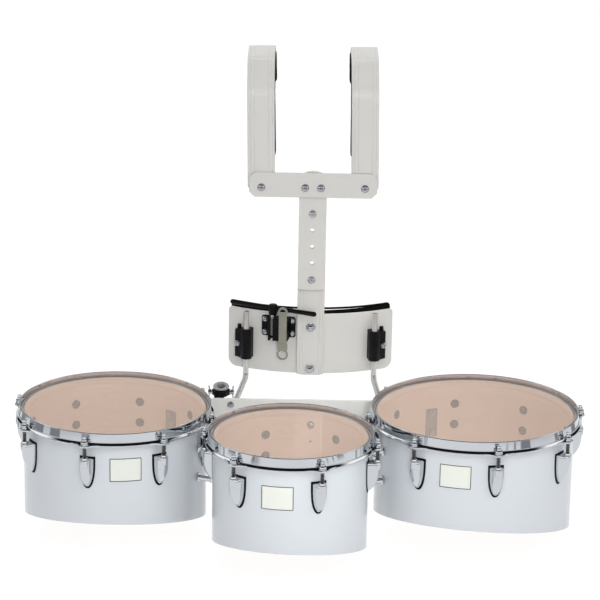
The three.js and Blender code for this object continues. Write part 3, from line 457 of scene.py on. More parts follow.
class Graph:
    """The node tree of a material or world, emptied first."""

    def __init__(self, owner):
        owner.use_nodes = True
        self.owner, self.tree = owner, owner.node_tree
        self.tree.nodes.clear()

    def add(self, kind, settings=(), sockets=(), output=0):
        """A node of a type, with its settings and the values or links of its sockets."""
        node = self.tree.nodes.new(kind)
        for name, setting in dict(settings).items():
            if name == "stops":
                ramp = node.color_ramp.elements
                while len(ramp) < len(setting):
                    ramp.new(0.5)
                for element, (position, tint) in zip(ramp, setting):
                    element.position, element.color = position, tint
            else:
                setattr(node, name, setting)
        for name, value in dict(sockets).items():
            if isinstance(value, Value):
                self.tree.links.new(value.socket, node.inputs[name])
            else:
                node.inputs[name].default_value = value
        return Value(self, node.outputs[output]) if len(node.outputs) else node

    def place(self):
        return self.add("ShaderNodeTexCoord", output="Object")

    def outputs(self, kind, names, sockets=()):
        """Some of the outputs of one node."""
        node = self.add(kind, sockets=sockets).socket.node
        return [Value(self, node.outputs[name]) for name in names]

    def split(self, vector):
        return self.outputs("ShaderNodeSeparateXYZ", "XYZ", {"Vector": vector})

    def rays(self, *kinds):
        return self.outputs("ShaderNodeLightPath", [f"Is {kind} Ray" for kind in kinds])

    def stretched(self, vector, scale):
        return self.add("ShaderNodeVectorMath", {"operation": "MULTIPLY"}, {0: vector, 1: scale})

    def noise(self, vector, scale, detail=3.0, roughness=0.5):
        sockets = {"Vector": vector, "Scale": scale, "Detail": detail, "Roughness": roughness}
        return self.add("ShaderNodeTexNoise", sockets=sockets)

    def blend(self, share, first, second):
        """A colour between two: the first at a share of 0, the second at 1."""
        colours = [value if isinstance(value, Value) else (*value[:3], 1.0) for value in (first, second)]
        sockets = {0: share, 6: colours[0], 7: colours[1]}
        return self.add("ShaderNodeMix", {"data_type": "RGBA"}, sockets, output=2)

    def tones(self, share, base, dark, light):
        """A colour between two shades of one."""
        return self.blend(share, shade(base, dark), shade(base, light))

    def bump(self, height, distance, strength=1.0):
        sockets = {"Strength": strength, "Distance": distance, "Height": height}
        return self.add("ShaderNodeBump", sockets=sockets)

    def surface(self, **sockets):
        """Ends a material in a Principled shader and returns the material."""
        named = {name.replace("_", " "): value for name, value in sockets.items()}
        if not isinstance(named["Base Color"], Value):
            named["Base Color"] = (*named["Base Color"][:3], 1.0)
        shader = self.add("ShaderNodeBsdfPrincipled", sockets=named)
        self.add("ShaderNodeOutputMaterial", sockets={"Surface": shader})
        return self.owner


def shade(base, factor):
    """A colour's channels times a factor, up to 1."""
    return tuple(min(channel * factor, 1.0) for channel in base)


def new_material(name):
    return Graph(bpy.data.materials.new(name))


def lacquer_material(drum):
    """White gloss outside and bare wood with a lengthwise grain inside, told apart by the distance from the
    drum's axis. The bearing edge shows the plies, the joint in the wood is a pale line, and the wood's top
    band is darkened as painted shade."""
    graph = new_material(f"shell_{drum.side}_lacquer")
    wood_shade = finish_colours().wood
    place = graph.place()
    x, y, z = graph.split(place)
    x, y = x - drum.centre[0], y - drum.centre[1]
    distance = (x * x + y * y) ** 0.5
    edge, painted_shade_top, ply = HOOP_PLANE - 0.0134, HOOP_PLANE - 0.018, 0.0016
    outside = (distance > drum.radius - 0.0012) * (z < edge)
    grain = graph.noise(graph.stretched(place, (9.0, 9.0, 150.0)), 1.6, 5.0, 0.62)
    pores = graph.noise(graph.stretched(place, (60.0, 60.0, 1400.0)), 1.0, 2.0)
    wood = graph.tones(grain, wood_shade, 0.86, 1.08)
    wood = graph.blend((pores > 0.62) * 0.25, wood, shade(wood_shade, 0.72))
    if drum.seam is not None:
        across, ahead = direction(drum.seam + 90), direction(drum.seam)
        offset = x * across[0] + y * across[1]
        near = (offset.math("ABSOLUTE") < 0.0009) * ((x * ahead[0] + y * ahead[1]) > 0)
        wood = graph.blend(near * 0.7, wood, shade(wood_shade, 1.28))
    # Painted shade: the wood from 18 mm under the hoop plane up over the bearing edge is darkened, against
    # the extra light its upturned faces catch
    wood = graph.blend((z > painted_shade_top) * 0.5, wood, shade(wood_shade, 0.78))
    plies = ((distance * (2 * np.pi / ply)).math("SINE") * 0.5 + 0.5) * (z > edge)
    wood = graph.blend(plies * 0.35, wood, shade(wood_shade, 0.7))
    clouds = graph.noise(place, 7.0, 2.0)
    paint = graph.tones(clouds, finish_colours().lacquer, 0.985, 1.0)
    ripple = graph.noise(place, 420.0, 2.0)
    height = outside * ripple * 0.16 + (1 - outside) * (grain * 0.6 + pores)
    return graph.surface(
        Base_Color=graph.blend(outside, wood, paint),
        Roughness=outside * 0.16 + (1 - outside) * (0.5 + grain * 0.1),
        Coat_Weight=outside * 0.2,
        Coat_Roughness=0.04,
        Normal=graph.bump(height, 0.00012),
    )


def film_material():
    """Clear film with a faint haze, cloudier in soft patches, and fine marks of sticks near its middle."""
    graph = new_material("head_film")
    place = graph.place()
    clouds = graph.noise(place, 11.0, 3.0)
    marks = graph.noise(graph.stretched(place, (210.0, 45.0, 1.0)), 1.0, 4.0, 0.7)
    return graph.surface(
        Base_Color=finish_colours().film,
        Roughness=0.1 + marks * 0.08,
        Alpha=0.24 + clouds * 0.05 + (marks > 0.7) * 0.04,
        IOR=1.5,
        Normal=graph.bump(marks, 0.00002),
    )


def chrome_material():
    """Plating with faint smears in its polish and hairline marks."""
    graph = new_material("chrome")
    place = graph.place()
    smears = graph.noise(place, 38.0, 4.0, 0.6)
    hairs = graph.noise(graph.stretched(place, (90.0, 90.0, 900.0)), 1.0, 2.0)
    return graph.surface(
        Base_Color=graph.tones(smears, finish_colours().chrome, 0.93, 1.0),
        Metallic=1.0,
        Roughness=0.02 + smears * 0.05,
        Normal=graph.bump(hairs, 0.000006),
    )


def coat_material(name="powder_coat", painted_light_gain=1.0):
    """Powder coat: a fine orange peel, with a slight dulling in soft patches. painted_light_gain lightens the
    colour, as painted light on a part that lies in shade.
    """
    graph = new_material(name)
    place = graph.place()
    peel = graph.noise(place, 900.0, 2.0)
    clouds = graph.noise(place, 14.0, 3.0)
    return graph.surface(
        Base_Color=graph.tones(clouds, shade(finish_colours().coat, painted_light_gain), 0.97, 1.0),
        Roughness=0.2 + clouds * 0.08,
        Normal=graph.bump(peel, 0.00005, 0.6),
    )


def plastic_material(name, roughness, grain_scale, base=None):
    """Moulding or rubber with a fine grain, black if no colour is given."""
    graph = new_material(name)
    place = graph.place()
    grain = graph.noise(place, grain_scale, 3.0, 0.6)
    clouds = graph.noise(place, 25.0, 2.0)
    return graph.surface(
        Base_Color=graph.tones(clouds, base or finish_colours().black, 0.8, 1.25),
        Roughness=roughness + clouds * 0.12,
        Specular_IOR_Level=0.2,
        Normal=graph.bump(grain, 0.00008, 0.7),
    )


def cloth_material():
    """Black woven cover. The weave is the product of two waves, 0.9 mm long, that follow the lengths
    along and across a pad, which it keeps in its own attribute."""
    graph = new_material("black_cloth")
    lengths = graph.add("ShaderNodeAttribute", {"attribute_name": "weave"}, output="Vector")
    u, v, _ = graph.split(lengths)
    pitch = 2 * np.pi / 0.0009
    weave = (u * pitch).math("SINE") * (v * pitch).math("SINE") * 0.5 + 0.5
    fuzz = graph.noise(graph.place(), 2600.0, 2.0, 0.7)
    wear = graph.noise(graph.place(), 18.0, 3.0)
    return graph.surface(
        Base_Color=graph.tones(weave * 0.6 + wear * 0.4, finish_colours().black, 0.35, 0.9),
        Roughness=0.72 + fuzz * 0.2,
        Specular_IOR_Level=0.25,
        Normal=graph.bump(weave + fuzz * 0.5, 0.00016, 0.8),
    )


def steel_material(name, base, roughness, metallic=0.85):
    """Plain metal with brushed lines and dull patches."""
    graph = new_material(name)
    place = graph.place()
    lines = graph.noise(graph.stretched(place, (900.0, 900.0, 40.0)), 1.0, 2.0)
    patches = graph.noise(place, 60.0, 4.0, 0.6)
    return graph.surface(
        Base_Color=graph.tones(patches, base, 0.8, 1.1),
        Metallic=metallic,
        Roughness=roughness + patches * 0.15,
        Normal=graph.bump(lines, 0.00002),
    )


def ivory_material():
    """The bare plates' cream enamel, a little uneven."""
    graph = new_material("cream_enamel")
    clouds = graph.noise(graph.place(), 60.0, 3.0)
    return graph.surface(
        Base_Color=graph.tones(clouds, finish_colours().ivory, 0.94, 1.0),
        Roughness=0.28 + clouds * 0.08,
        Normal=graph.bump(graph.noise(graph.place(), 700.0), 0.00003),
    )


MATERIALS = {
    "film": film_material,
    "chrome": chrome_material,
    "coat": coat_material,
    # Painted light: the rail's coat is made lighter than the rest of the carrier, where the drums shade it
    "rail": lambda: coat_material("rail_coat", 1.22),
    "plastic": lambda: plastic_material("black_moulding", 0.38, 1500.0),
    "gasket": lambda: plastic_material("black_rubber", 0.6, 2200.0),
    "handle": lambda: plastic_material("black_sleeve", 0.32, 1100.0),
    "cloth": cloth_material,
    "steel": lambda: steel_material("plain_steel", finish_colours().steel, 0.32),
    "grey": lambda: steel_material("grey_metal", linear(168, 168, 170), 0.35, 0.5),
    "key": lambda: steel_material("satin_steel", linear(158, 156, 143), 0.45, 0.35),
    "zinc": lambda: steel_material("bright_zinc", linear(228, 227, 223), 0.1, 0.6),
    "rod": lambda: steel_material("rod_steel", linear(128, 122, 116), 0.2, 1.0),
    "ivory": ivory_material,
    "washer": lambda: plastic_material("grey_washer", 0.5, 1500.0, linear(62, 62, 68)),
}


def material_for(finish, made={}):
    if finish not in made:
        made[finish] = MATERIALS[finish]()
    return made[finish]


# Drums


class Drum:
    """One drum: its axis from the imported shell, its radius, and where its fittings are."""

    def __init__(self, side):
        vars(self).update(DRUM_LAYOUT[side], side=side)
        low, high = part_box(f"shell_{side}")
        self.centre = np.array([low.x + high.x, low.y + high.y]) / 2
        self.radius = getattr(drum_sizes(), f"{side}_radius")
        self.inner = self.radius - drum_sizes().wall
        self.bearings = self.first_lug + 360 / self.lugs * np.arange(self.lugs)
        self.top = np.array([*self.centre, HOOP_PLANE])

    def place(self, bearing, radius, height):
        """Points at bearings, a radius from the axis and a height from the hoop plane."""
        bearing, radius, height = np.broadcast_arrays(bearing, radius, height)
        return self.top + direction(bearing) * radius[..., None] + height[..., None] * UP

    def against(self, bearing, across, out, height):
        """Points beside the shell at a bearing: across, then out from the curved face, which is
        sqrt(radius^2 - across^2) from the axis. Bearings make a stack of such grids."""
        across, out, height = np.broadcast_arrays(across, out, height)
        ahead = np.sqrt(self.radius**2 - across**2) + out
        front = direction(np.atleast_1d(bearing))[:, None, None]
        side = direction(np.atleast_1d(bearing) + 90)[:, None, None]
        points = self.top + front * ahead[..., None] + side * across[..., None]
        return points + height[..., None] * UP


def drums():
    return [Drum(side) for side in SIDES]


def shell_part(drum):
    """Tube with a rounded bearing edge. Its bottom lies on a plane that falls towards the player:
    height = -depth - tan(slant) (x sin t + y cos t), with t the turn of the fall towards +X."""
    outer, inner = drum.radius, drum.inner
    crest, middle = -drum_sizes().film_drop - 0.0009, -0.05
    top = [(outer, middle), (outer, crest - 0.0031), (outer - 0.003, crest), (inner, crest - 0.006)]
    top = rounded([*top, (inner, middle)], [0, 0.0015, 0.0012, 0.001, 0])
    bottom = rounded([(inner, 0.02), (inner, 0), (outer, 0), (outer, 0.02)], [0, 0.0008, 0.0008, 0])
    profile = np.vstack([top, bottom])
    radii, heights = profile[:, :1], profile[:, 1:]
    on_bottom = (np.arange(len(profile)) >= len(top))[:, None]
    bearing = np.linspace(0, 360, 180, endpoint=False)[None]
    level = direction(bearing)
    turn = np.radians(drum.cut_turn)
    fall = radii * (level[..., 0] * np.sin(turn) + level[..., 1] * np.cos(turn))
    cut = -drum_sizes().shell_depth - np.tan(np.radians(SLANT)) * fall
    return patch(drum.place(bearing, radii, heights + on_bottom * cut), loop_rows=True, caps=False)


def build_vent(drum, shell):
    """Drills the vent and adds its grommet, with a rivet below it inside the shell."""
    out = direction(VENT_BEARING)
    outside, inside = (drum.place(VENT_BEARING, radius, -VENT_DROP) for radius in (drum.radius, drum.inner))
    drilled(shell, turned(tube(0, 0.0044, 0, 0.04), outside - 0.02 * out, out))
    collar = rounded(mm((4.1, 0), (6.6, 0), (6.6, 1), (5.2, 1.6), (4.1, 1.6)), 0.0003)
    rivet = mm((0, 0.9), (1.1, 0.8), (1.9, 0.3), (2, 0), (0, -0.2))
    parts = [
        turned(collar, outside, out),
        turned(collar, inside, -out),
        turned(tube(0.0042, 0.0044, -0.0084, 0.0004), outside, out),
        turned(rivet, drum.place(VENT_BEARING, drum.inner, -RIVET_DROP), -out),
    ]
    make("vent_and_rivet", parts, "steel", "drum_rack")


def build_shells():
    """Shells, each with its own grain and ply lines."""
    for drum in drums():
        shell = mesh_object(f"drum_shell_{drum.side}", [shell_part(drum)])
        if drum.side == "centre":
            build_vent(drum, shell)
        dress(shell, "lacquer", "drum_rack", f"shell_{drum.side}", lacquer_material(drum))


def build_heads():
    """Film that bends down over the shell and the flesh ring below it, turned round the axis."""
    for drum in drums():
        body, node = f"head_and_hoop_{drum.side}", f"head_{drum.side}"
        r, drop = drum.radius, drum_sizes().film_drop
        collar = mm((-3.4, -0.1), (-1.6, -1), (-0.2, -2.6), (0.7, -4.4), (1, -6.2), (1, -7.8)) + (r, -drop)
        upper = np.vstack([[(0, -drop), (r * 0.5, -drop), (r - 0.006, -drop)], collar])
        lower = upper[::-1] - (0.0003, 0.00035)
        lower[:, 0] = lower[:, 0].clip(0)
        film = turned(np.vstack([upper, lower]), drum.top, segments=160)
        make(f"film_{drum.side}", [film], "film", body, node, sharp=60)
        ring = rounded(tube(r + 0.0012, r + 0.0048, -0.0096, -0.0195), 0.0007)
        make(f"flesh_ring_{drum.side}", [turned(ring, drum.top, segments=160)], "zinc", body, node)


def hoop_profile(drum):
    """Counterhoop from its rounded top edge down the plain wall, over the fillet and out to the flange."""
    r, low = drum.radius, -drum_sizes().hoop_height
    wall_in, wall_out, tip = r + 0.0051, r + 0.0076, r + 0.0126
    corners = [
        (wall_in, 0), (wall_out, 0), (wall_out, low + 0.0044), (tip, low + 0.0023), (tip, low),
        (wall_in - 0.0002, low), (wall_in - 0.0002, -0.013), (wall_in, -0.0126),
    ]
    return rounded(corners, [0.001, 0.0012, 0.0026, 0.001, 0.001, 0.0007, 0.0001, 0.0001], 6)


def ear_part(drum):
    """Ears of a hoop: long shoulders that run from the flange to a rounded tip round each rod, with a
    boss."""
    r, low = drum.radius, -drum_sizes().hoop_height - 0.0004
    reach = np.sqrt((r + 0.0116) ** 2 - 0.027**2)
    half = [(0.024, -r - 0.0062), (0.027, -reach), (0.0145, -r - 0.0136), (0.0095, -r - 0.0172)]
    half = np.array([*half, (0.0066, -r - 0.0222)])
    radii = [0.0004, 0.0008, 0.01, 0.006, 0.006]
    outline = rounded(np.vstack([half * (-1, 1), half[::-1]]), radii + radii[::-1], 6)
    foot = drum.top + low * UP
    ears = [
        plate(outline, foot, direction(bearing + 90), -direction(bearing), UP, 0.0034, 0.0009, 4)
        for bearing in drum.bearings
    ]
    boss = rounded(mm((3.4, 2.4), (6.8, 2.4), (6.2, 6.2), (3.4, 6.2)), 0.0008)
    return [*ears, turned(boss, drum.place(drum.bearings, r + drum_sizes().rod_offset, low))]


def square(half, count=32, power=8):
    """Radius of a square with rounded corners at each angle: half / (|cos|^p + |sin|^p)^(1/p)."""
    angle = np.linspace(0, 2 * np.pi, count, endpoint=False)
    return half / (np.abs(np.cos(angle)) ** power + np.abs(np.sin(angle)) ** power) ** (1 / power)


def hexagon(half, count=48):
    """Distance to a hexagon's side at each angle: half / cos(a - nearest side)."""
    angle = np.linspace(0, 2 * np.pi, count, endpoint=False)
    return half / np.cos((angle + np.pi / 6) % (np.pi / 3) - np.pi / 6)


def rod_parts(drum):
    """Tension rods: square heads on collars, and long shanks with threads down to the lug."""
    places = drum.place(drum.bearings, drum.radius + drum_sizes().rod_offset, 0.0)
    head, shank, foot = square(0.0033), 0.0031, -0.06
    seat = -drum_sizes().hoop_height + 0.0058
    collar = mm((3.4, 4), (5.6, 3.6), (6.1, 3), (6.1, 0.4), (5.6, 0), (0, 0)) + (0, seat)
    top = [(0, -0.004), (head * 0.55, -0.004), (head * 0.9, -0.0044), (head, -0.0052), (head, seat + 0.0042)]
    crests = seat - 0.008 - 0.0012 * np.arange(14)
    thread = [point for z in crests for point in ((shank, z), (shank - 0.0003, z - 0.0006))]
    stem = [(0, seat), (shank, seat), *thread, (shank, seat - 0.0252), (shank, foot), (0, foot)]
    return turned([*top, *collar], places), turned(stem, places)


def build_hoops():
    """Counterhoop turned round the drum's axis, its ears, and the tension rods."""
    for drum in drums():
        body, node = f"head_and_hoop_{drum.side}", f"hoop_{drum.side}"
        ring = turned(hoop_profile(drum), drum.top, segments=200)
        heads, stems = rod_parts(drum)
        make(f"counterhoop_{drum.side}", [ring, *ear_part(drum)], "chrome", body, node)
        make(f"rod_heads_{drum.side}", [heads], "chrome", body, node)
        make(f"tension_rods_{drum.side}", [stems], "rod", body, node)


def casing_points(drum, bearing, foot, grow, depth=None):
    """A shield that narrows to a low point. At a share t of its length its level section is
    (1 - t^3.2)^0.62 of the width and (1 - t^3)^0.75 of the reach, and swells by (1 - |a|^3)^0.5 for a
    from -1 to 1. With a depth it is a flat plate of that outline."""
    sizes = drum_sizes()
    t = np.concatenate([[0, 0], np.linspace(0, 1, 25) ** 0.85])[:, None]
    below_tip = t.clip(0, 0.9985)
    width, reach = (1 - below_tip**3.2) ** 0.62, (1 - below_tip**3) ** 0.75
    a = eased(33)[None]
    bulge = np.sqrt(np.maximum(1 - np.abs(a) ** 3, 0))
    across = a * (width * sizes.lug_width / 2 + grow)
    if depth is None:
        lead = np.array([0.8, 0.95] + [1.0] * 25)[:, None]
        sink = np.array([0, 0.0005] + [0.0018] * 25)[:, None]
        across = across * lead
        out = foot + bulge * (reach * (sizes.lug_reach - 0.0008) * lead - foot).clip(0.0004)
    else:
        sink, out = 0.0, foot + depth * np.minimum(bulge * 6, 1)
    height = -sizes.lug_top + grow - sink - t * (sizes.lug_length + 2 * grow - sink)
    front = drum.against(bearing, across, out, height)
    back = drum.against(bearing, across[:, ::-1], foot, height)
    return np.concatenate([front, back[:, :, 1:-1]], axis=2)


def build_lugs():
    """Casings with swivel nuts, gaskets round them, and washers and screw heads inside the shell."""
    sizes = drum_sizes()
    nut = mm((3.1, -12.5), (6.7, -12.5), (6.7, 0.8), (5.2, 1.6), (4.7, 4.4), (3.1, 4.4))
    nut = rounded(nut, [0.0002, 0.0034, 0.0012, 0.0006, 0.0007, 0.0004])
    washer = rounded(tube(0.002, sizes.washer_width / 2, 0, 0.0014), 0.0004)
    head = mm((0, 3.4), (2.4, 3.3), (3.8, 2.6), (4.1, 1.2), (0, 1))
    for drum in drums():
        for number, bearing in enumerate(drum.bearings, 1):
            name = f"{drum.side}_{number}"
            casing = patch(casing_points(drum, bearing, 0.0012, 0.0))
            swivel = turned(nut, drum.place(bearing, drum.radius + sizes.rod_offset, -sizes.lug_top))
            make(f"lug_casing_{name}", [casing, swivel], "chrome", "drum_rack", f"lug_{name}", sharp=40)
        gaskets = patch(casing_points(drum, drum.bearings, 0.0001, 0.0019, 0.0014))
        make(f"lug_gaskets_{drum.side}", [gaskets], "gasket", "drum_rack")
        parts = [
            turned(shape, drum.place(drum.bearings, drum.inner - 0.0002, -drop), -direction(drum.bearings))
            for drop in LUG_SCREW_DROPS
            for shape in (washer, head)
        ]
        make(f"lug_washers_{drum.side}", parts, "washer", "drum_rack")


def build_plates():
    """Each plate is one grid of loops: the back from its middle outwards, the rim, and the front."""
    sizes = drum_sizes()
    outline = divided(rounded(rectangle(sizes.badge_width, sizes.badge_height), 0.0012), 12)
    for drum in drums():

        def laid(loops, out):
            return drum.against(drum.badge, loops[..., 0], out, loops[..., 1] - drum.badge_drop)

        def band(outs, insets):
            loops = np.stack([inset(outline, distance) for distance in insets])
            return loops[-1], laid(loops, np.array(outs)[:, None])

        inmost, rim = band((0.0001, 0.0008, 0.001), (0, 0, 0.0002))
        face = inmost * np.linspace(1, 0, 14)[:, None, None]
        whole = np.concatenate([laid(face, 0.0001)[:, ::-1], rim, laid(face, 0.001)[:, 1:]], axis=1)
        make(f"bare_plate_{drum.side}", [patch(whole, caps=False)], "ivory", "drum_rack")
        _, border = band((0.0009, 0.00125, 0.00125, 0.0009), (0.0003, 0.0004, 0.0014, 0.0015))
        border = patch(border, loop_rows=True, caps=False)
        make(f"plate_border_{drum.side}", [border], "gasket", "drum_rack")


def build_spacers():
    """Cup, nut and cup, turned about the level line between two drums' axes."""
    centre, nut = Drum("centre"), hexagon(0.006)
    cup = mm((3.6, 0.2), (7.4, 0.2), (7.6, 1), (7.6, 2.4), (7, 3), (4.7, 3.2), (4.5, 3.6))
    for side, _ in HANDS:
        other = Drum(side)
        apart = other.top - centre.top
        ahead = unit(apart)
        gap = np.linalg.norm(apart) - centre.radius - other.radius
        far_cup = cup[::-1] * (1, -1) + (0, gap)
        profile = [(0, 0.0002), *cup, (0.0045, 0.009), (nut, 0.0092), (nut * 1.02, 0.0098)]
        profile += [(nut * 1.02, 0.014), (nut, 0.0146), (0.0045, 0.0148), *far_cup, (0, gap - 0.0002)]
        for name, drop in (("upper", 0.057), ("lower", 0.108)):
            spacer = turned(profile, centre.top + ahead * centre.radius - drop * UP, ahead, 48)
            make(f"spacer_bolt_{side}_{name}", [spacer], "chrome", "drum_rack", f"spacer_{side}_{name}")


# Rack

# Depth of the rail's front face, drop of its top edge, its height, and how far it stands off a shell
RAIL_DEPTH, RAIL_DROP, RAIL_HEIGHT, STANDOFF = 0.24, 0.0315, 0.075, 0.008
# Drops of the bolts that fix the rail, and half the distance between the bent rods
FIXING_DROPS, ROD_SPREAD = (0.061, 0.097), 0.112
# A bolt's domed head from its socket to its rim, as shares of half its width
BUTTON = np.array([(0.46, 0.44), (0.6, 0.46), (0.8, 0.36), (0.94, 0.2), (1, 0.05), (1, 0)])


def fixing_face(drum):
    """Point, outward and sideways directions of the flat face that is fixed to an outer drum."""
    out = direction(drum.fixing)[:2]
    return drum.centre + out * (drum.radius + STANDOFF), out, np.array([-out[1], out[0]])


def rail_line():
    """Front line of the rail from above: wing, bend, bend, wing."""
    depth, tail = DRUM_LINE + RAIL_DEPTH, 0.016
    ends = []
    for side, _ in HANDS:
        point, _, along = fixing_face(Drum(side))
        corner = point + along * (depth - point[1]) / along[1]
        ends.append((point + unit(point - corner) * tail, corner))
    return np.array([*ends[0], *ends[1][::-1]])


def thick_line(line, thickness):
    """Outline of a bar of a thickness behind a line: at a corner, point + thickness m / (m . n), with n
    the normal of a side and m the mean direction of both sides' normals."""
    step = unit(np.diff(line, axis=0))
    normal = np.stack([-step[:, 1], step[:, 0]], -1)
    before, after = np.vstack([normal[:1], normal]), np.vstack([normal, normal[-1:]])
    mitre = unit(before + after)
    return np.vstack([line, (line + mitre * thickness / (mitre * after).sum(1, keepdims=True))[::-1]])


def bolt_parts(places, axes, width, washer):
    """Button heads with a six-sided socket, on washers."""
    base, half, socket = 0.0012, width / 2, hexagon(width * 0.17)
    floor, dome, rim = base + width * 0.12, BUTTON * half + (0, base), washer / 2
    profile = [(0, floor), (socket, floor), (socket, base + half * 0.44), *dome, (0, base)]
    ring = [(0, -0.0001), (rim, -0.0001), (rim, base * 0.8), (rim * 0.95, base), (0, base)]
    return [turned(profile, places, axes, 48), turned(ring, places, axes, 96)]


def build_rail():
    """Bar whose outline from above follows both outer drums, given a height, and its fixings."""
    radii = [0.0015, 0.01, 0.01, 0.0015, 0.0015, 0.006, 0.006, 0.0015]
    shape = rounded(thick_line(rail_line(), 0.004), radii, 8)
    low = (HOOP_PLANE - RAIL_DROP - RAIL_HEIGHT) * UP
    rail = plate(shape, low, RIGHT, BACK, UP, RAIL_HEIGHT, 0.0012, 4)
    # The rail's finish is the lighter coat, painted light where the drums shade it
    make("drum_rail", [rail], "rail", "drum_rack", "rail")
    sleeve = rounded(tube(0.003, 0.009, 0, 0.0077), 0.0008)
    sleeves, bolts = [], []
    for side, _ in HANDS:
        point, out, _ = fixing_face(Drum(side))
        out = np.append(out, 0.0)
        for drop in FIXING_DROPS:
            start = np.append(point, HOOP_PLANE - drop)
            sleeves.append(turned(sleeve, start, -out, 48))
            bolts += bolt_parts(start + out * 0.004, out, 0.0115, 0.0155)
    make("rail_standoffs", sleeves, "gasket", "drum_rack")
    clip_bolt = row(-0.134, RAIL_DEPTH, -0.0425)
    bolts += bolt_parts(clip_bolt, -BACK, 0.0095, 0.0115)
    bolts.append(turned(tube(0, hexagon(0.005), 0, 0.004), clip_bolt + 0.004 * BACK, BACK, 48))
    make("rail_bolts", bolts, "chrome", "drum_rack")


def build_backing_plates():
    """Plates inside the outer shells, bent to a radius: depth = sqrt(radius^2 - across^2), with nuts."""
    shape, thick, nut = rounded(rectangle(0.021, 0.05), 0.002), 0.002, hexagon(0.005)
    end = [*mm((0, 6.5), (2.8, 6.2), (3, 4.5)), (nut * 0.95, 0.0045), (nut, 0.004), (nut, 0), (0, 0)]
    for side, _ in HANDS:
        drum = Drum(side)
        radius, out = drum.inner - 0.0003, direction(drum.fixing)
        points, faces = plate(shape, (0, 0, 0), RIGHT, UP, BACK, thick, 0.0003)
        x, depth, z = points.T[..., None]
        points = drum.top + out * (np.sqrt(radius**2 - x**2) - thick + depth)
        points = points + direction(drum.fixing + 90) * x + (z - 0.079) * UP
        make(f"backing_{side}", [(points, faces)], "steel", "drum_rack", f"backing_plate_{side}")
        places = drum.place(drum.fixing, radius - 0.0018, -np.array(FIXING_DROPS))
        make(f"backing_nuts_{side}", [turned(end, places, -out, 48)], "grey", "drum_rack")


def build_bent_rods():
    """Rods carried down and round a bend: foot + bend (1 - cos t) ahead + bend (1 - sin t) up."""
    radius = carrier_sizes().rod_diameter / 2
    bend, level, top = 0.013, HOOP_PLANE - 0.0445, HOOP_PLANE + 0.0765
    turn = np.linspace(0, np.pi / 2, 13)[:, None]
    weld = rounded([(radius, 0), (radius + 0.0026, 0), (radius, 0.0034)], 0.0006)
    for (side, sign), splay in zip(HANDS, np.radians((6.4, 4.4))):
        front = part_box(f"bent_rod_{side}")[0].y
        ahead = np.array([sign * np.sin(splay), -np.cos(splay), 0.0])
        across = np.array([np.cos(splay), sign * np.sin(splay), 0.0])
        foot = row(sign * ROD_SPREAD, 0.39347, 0) * (1, 1, 0)
        run = (foot[1] - front - radius * np.sin(splay)) / np.cos(splay)
        arc = foot + ahead * bend * (1 - np.cos(turn)) + UP * (level + bend - bend * np.sin(turn))
        path = np.vstack([foot + UP * top, arc, foot + ahead * run + UP * level])
        tangent = np.vstack([-UP, -np.cos(turn) * UP + np.sin(turn) * ahead, ahead])
        rod = bar(circle(radius, 28), path, across, np.cross(across, tangent), 0.0012, 4)
        make(f"bent_hanger_{side}", [rod], "zinc", "drum_rack", f"bent_rod_{side}")
        seam = turned(weld, path[-1] + ahead * 0.0002, -ahead, 40)
        make(f"hanger_weld_{side}", [seam], "chrome", "drum_rack")


def build_clip():
    """Six-sided block, a collar that rises by a share of depth, and wing screws whose blades bend
    outwards by height squared."""
    centre = row(-0.151, 0.259, -0.0312)
    pivot = centre + 0.005 * UP
    block = plate(rounded(circle(0.016, 6), 0.0022), centre, RIGHT, BACK, UP, 0.01, 0.0012)
    tongue = rounded(rectangle(0.017, 0.006), 0.001)
    tongue = plate(tongue, centre + (-0.003, -0.0117, -0.02), RIGHT, BACK, UP, 0.03, 0.0008)
    clip = mesh_object("clip_block", [block, tongue])
    bore = turned(tube(0, 0.0073, -0.03, 0.03), centre, segments=48)
    sockets = [turned(tube(0, 0.00295, 0, 0.012), pivot + out * 0.0085, out) for out in (-RIGHT, RIGHT)]
    drilled(clip, bore, *sockets)
    dress(clip, "plastic", "drum_rack", "clip_body")
    ring = mm((7.3, 0.3), (11.6, 0.3), (11.6, 3), (13.5, 3.6), (13.5, 5.4), (12.5, 6), (7.3, 6))
    points, faces = turned(rounded(ring, 0.0005), centre + 0.01 * UP, segments=64)
    lift = ((points[:, 2] - centre[2] - 0.0105) / 0.005).clip(0, 1)
    points[:, 2] += lift * (points[:, 1] - centre[1]) * 0.26
    make("clip_collar", [(points, faces)], "grey", "drum_rack", "clip_ring")
    hub = [(0, 9.3), (2.4, 9.3), (2.4, 16.3), (4, 16.4), (4.5, 17), (4.5, 20.5), (3.8, 22.1), (2, 22.3)]
    hub = mm(*hub, (0, 22.3))
    wing = mm((-3.4, 2.8), (-3, 9), (0, 11.8), (3, 9), (3.4, 2.8))
    wing = rounded(np.vstack([wing, wing[::-1] * (1, -1)]), 0.0012)
    for (side, sign), body in zip(HANDS, ("wing_screw_outer", "wing_screw_inner")):
        out = sign * RIGHT
        points, faces = plate(wing, pivot + out * 0.0188, BACK, UP, out, 0.0018, 0.0005)
        points += out * ((points[:, 2:] - pivot[2]) ** 2 / 0.0118) * 0.1
        screw = [turned(hub, pivot, out, 40), (points, faces)]
        make(f"wing_{side}", screw, "chrome", body, f"wing_screw_{side}")


# Carrier

# The belly plate's radius, the depth of its axis, half its angle, and its edges from the hoop plane
BELLY_RADIUS, BELLY_AXIS, BELLY_TOP, BELLY_BOTTOM = 0.265, 0.649, 0.0768, -0.0322
BELLY_HALF = np.arcsin(0.144 / BELLY_RADIUS)
# Depths of the masts' and the cross bar's front faces, and the heights of the masts' holes
MAST_FRONT, STRIP_FRONT, CROSS_FRONT = 0.372744, 0.368444, 0.364144
HOLE_HEIGHTS = 0.2608 - 0.0294 * np.arange(5)
# Half the distance between the shoulder bars' bolts, and the height of the cross bar's bolts
SHOULDER_SPREAD, CROSS_LEVEL = 0.0885, 0.3077


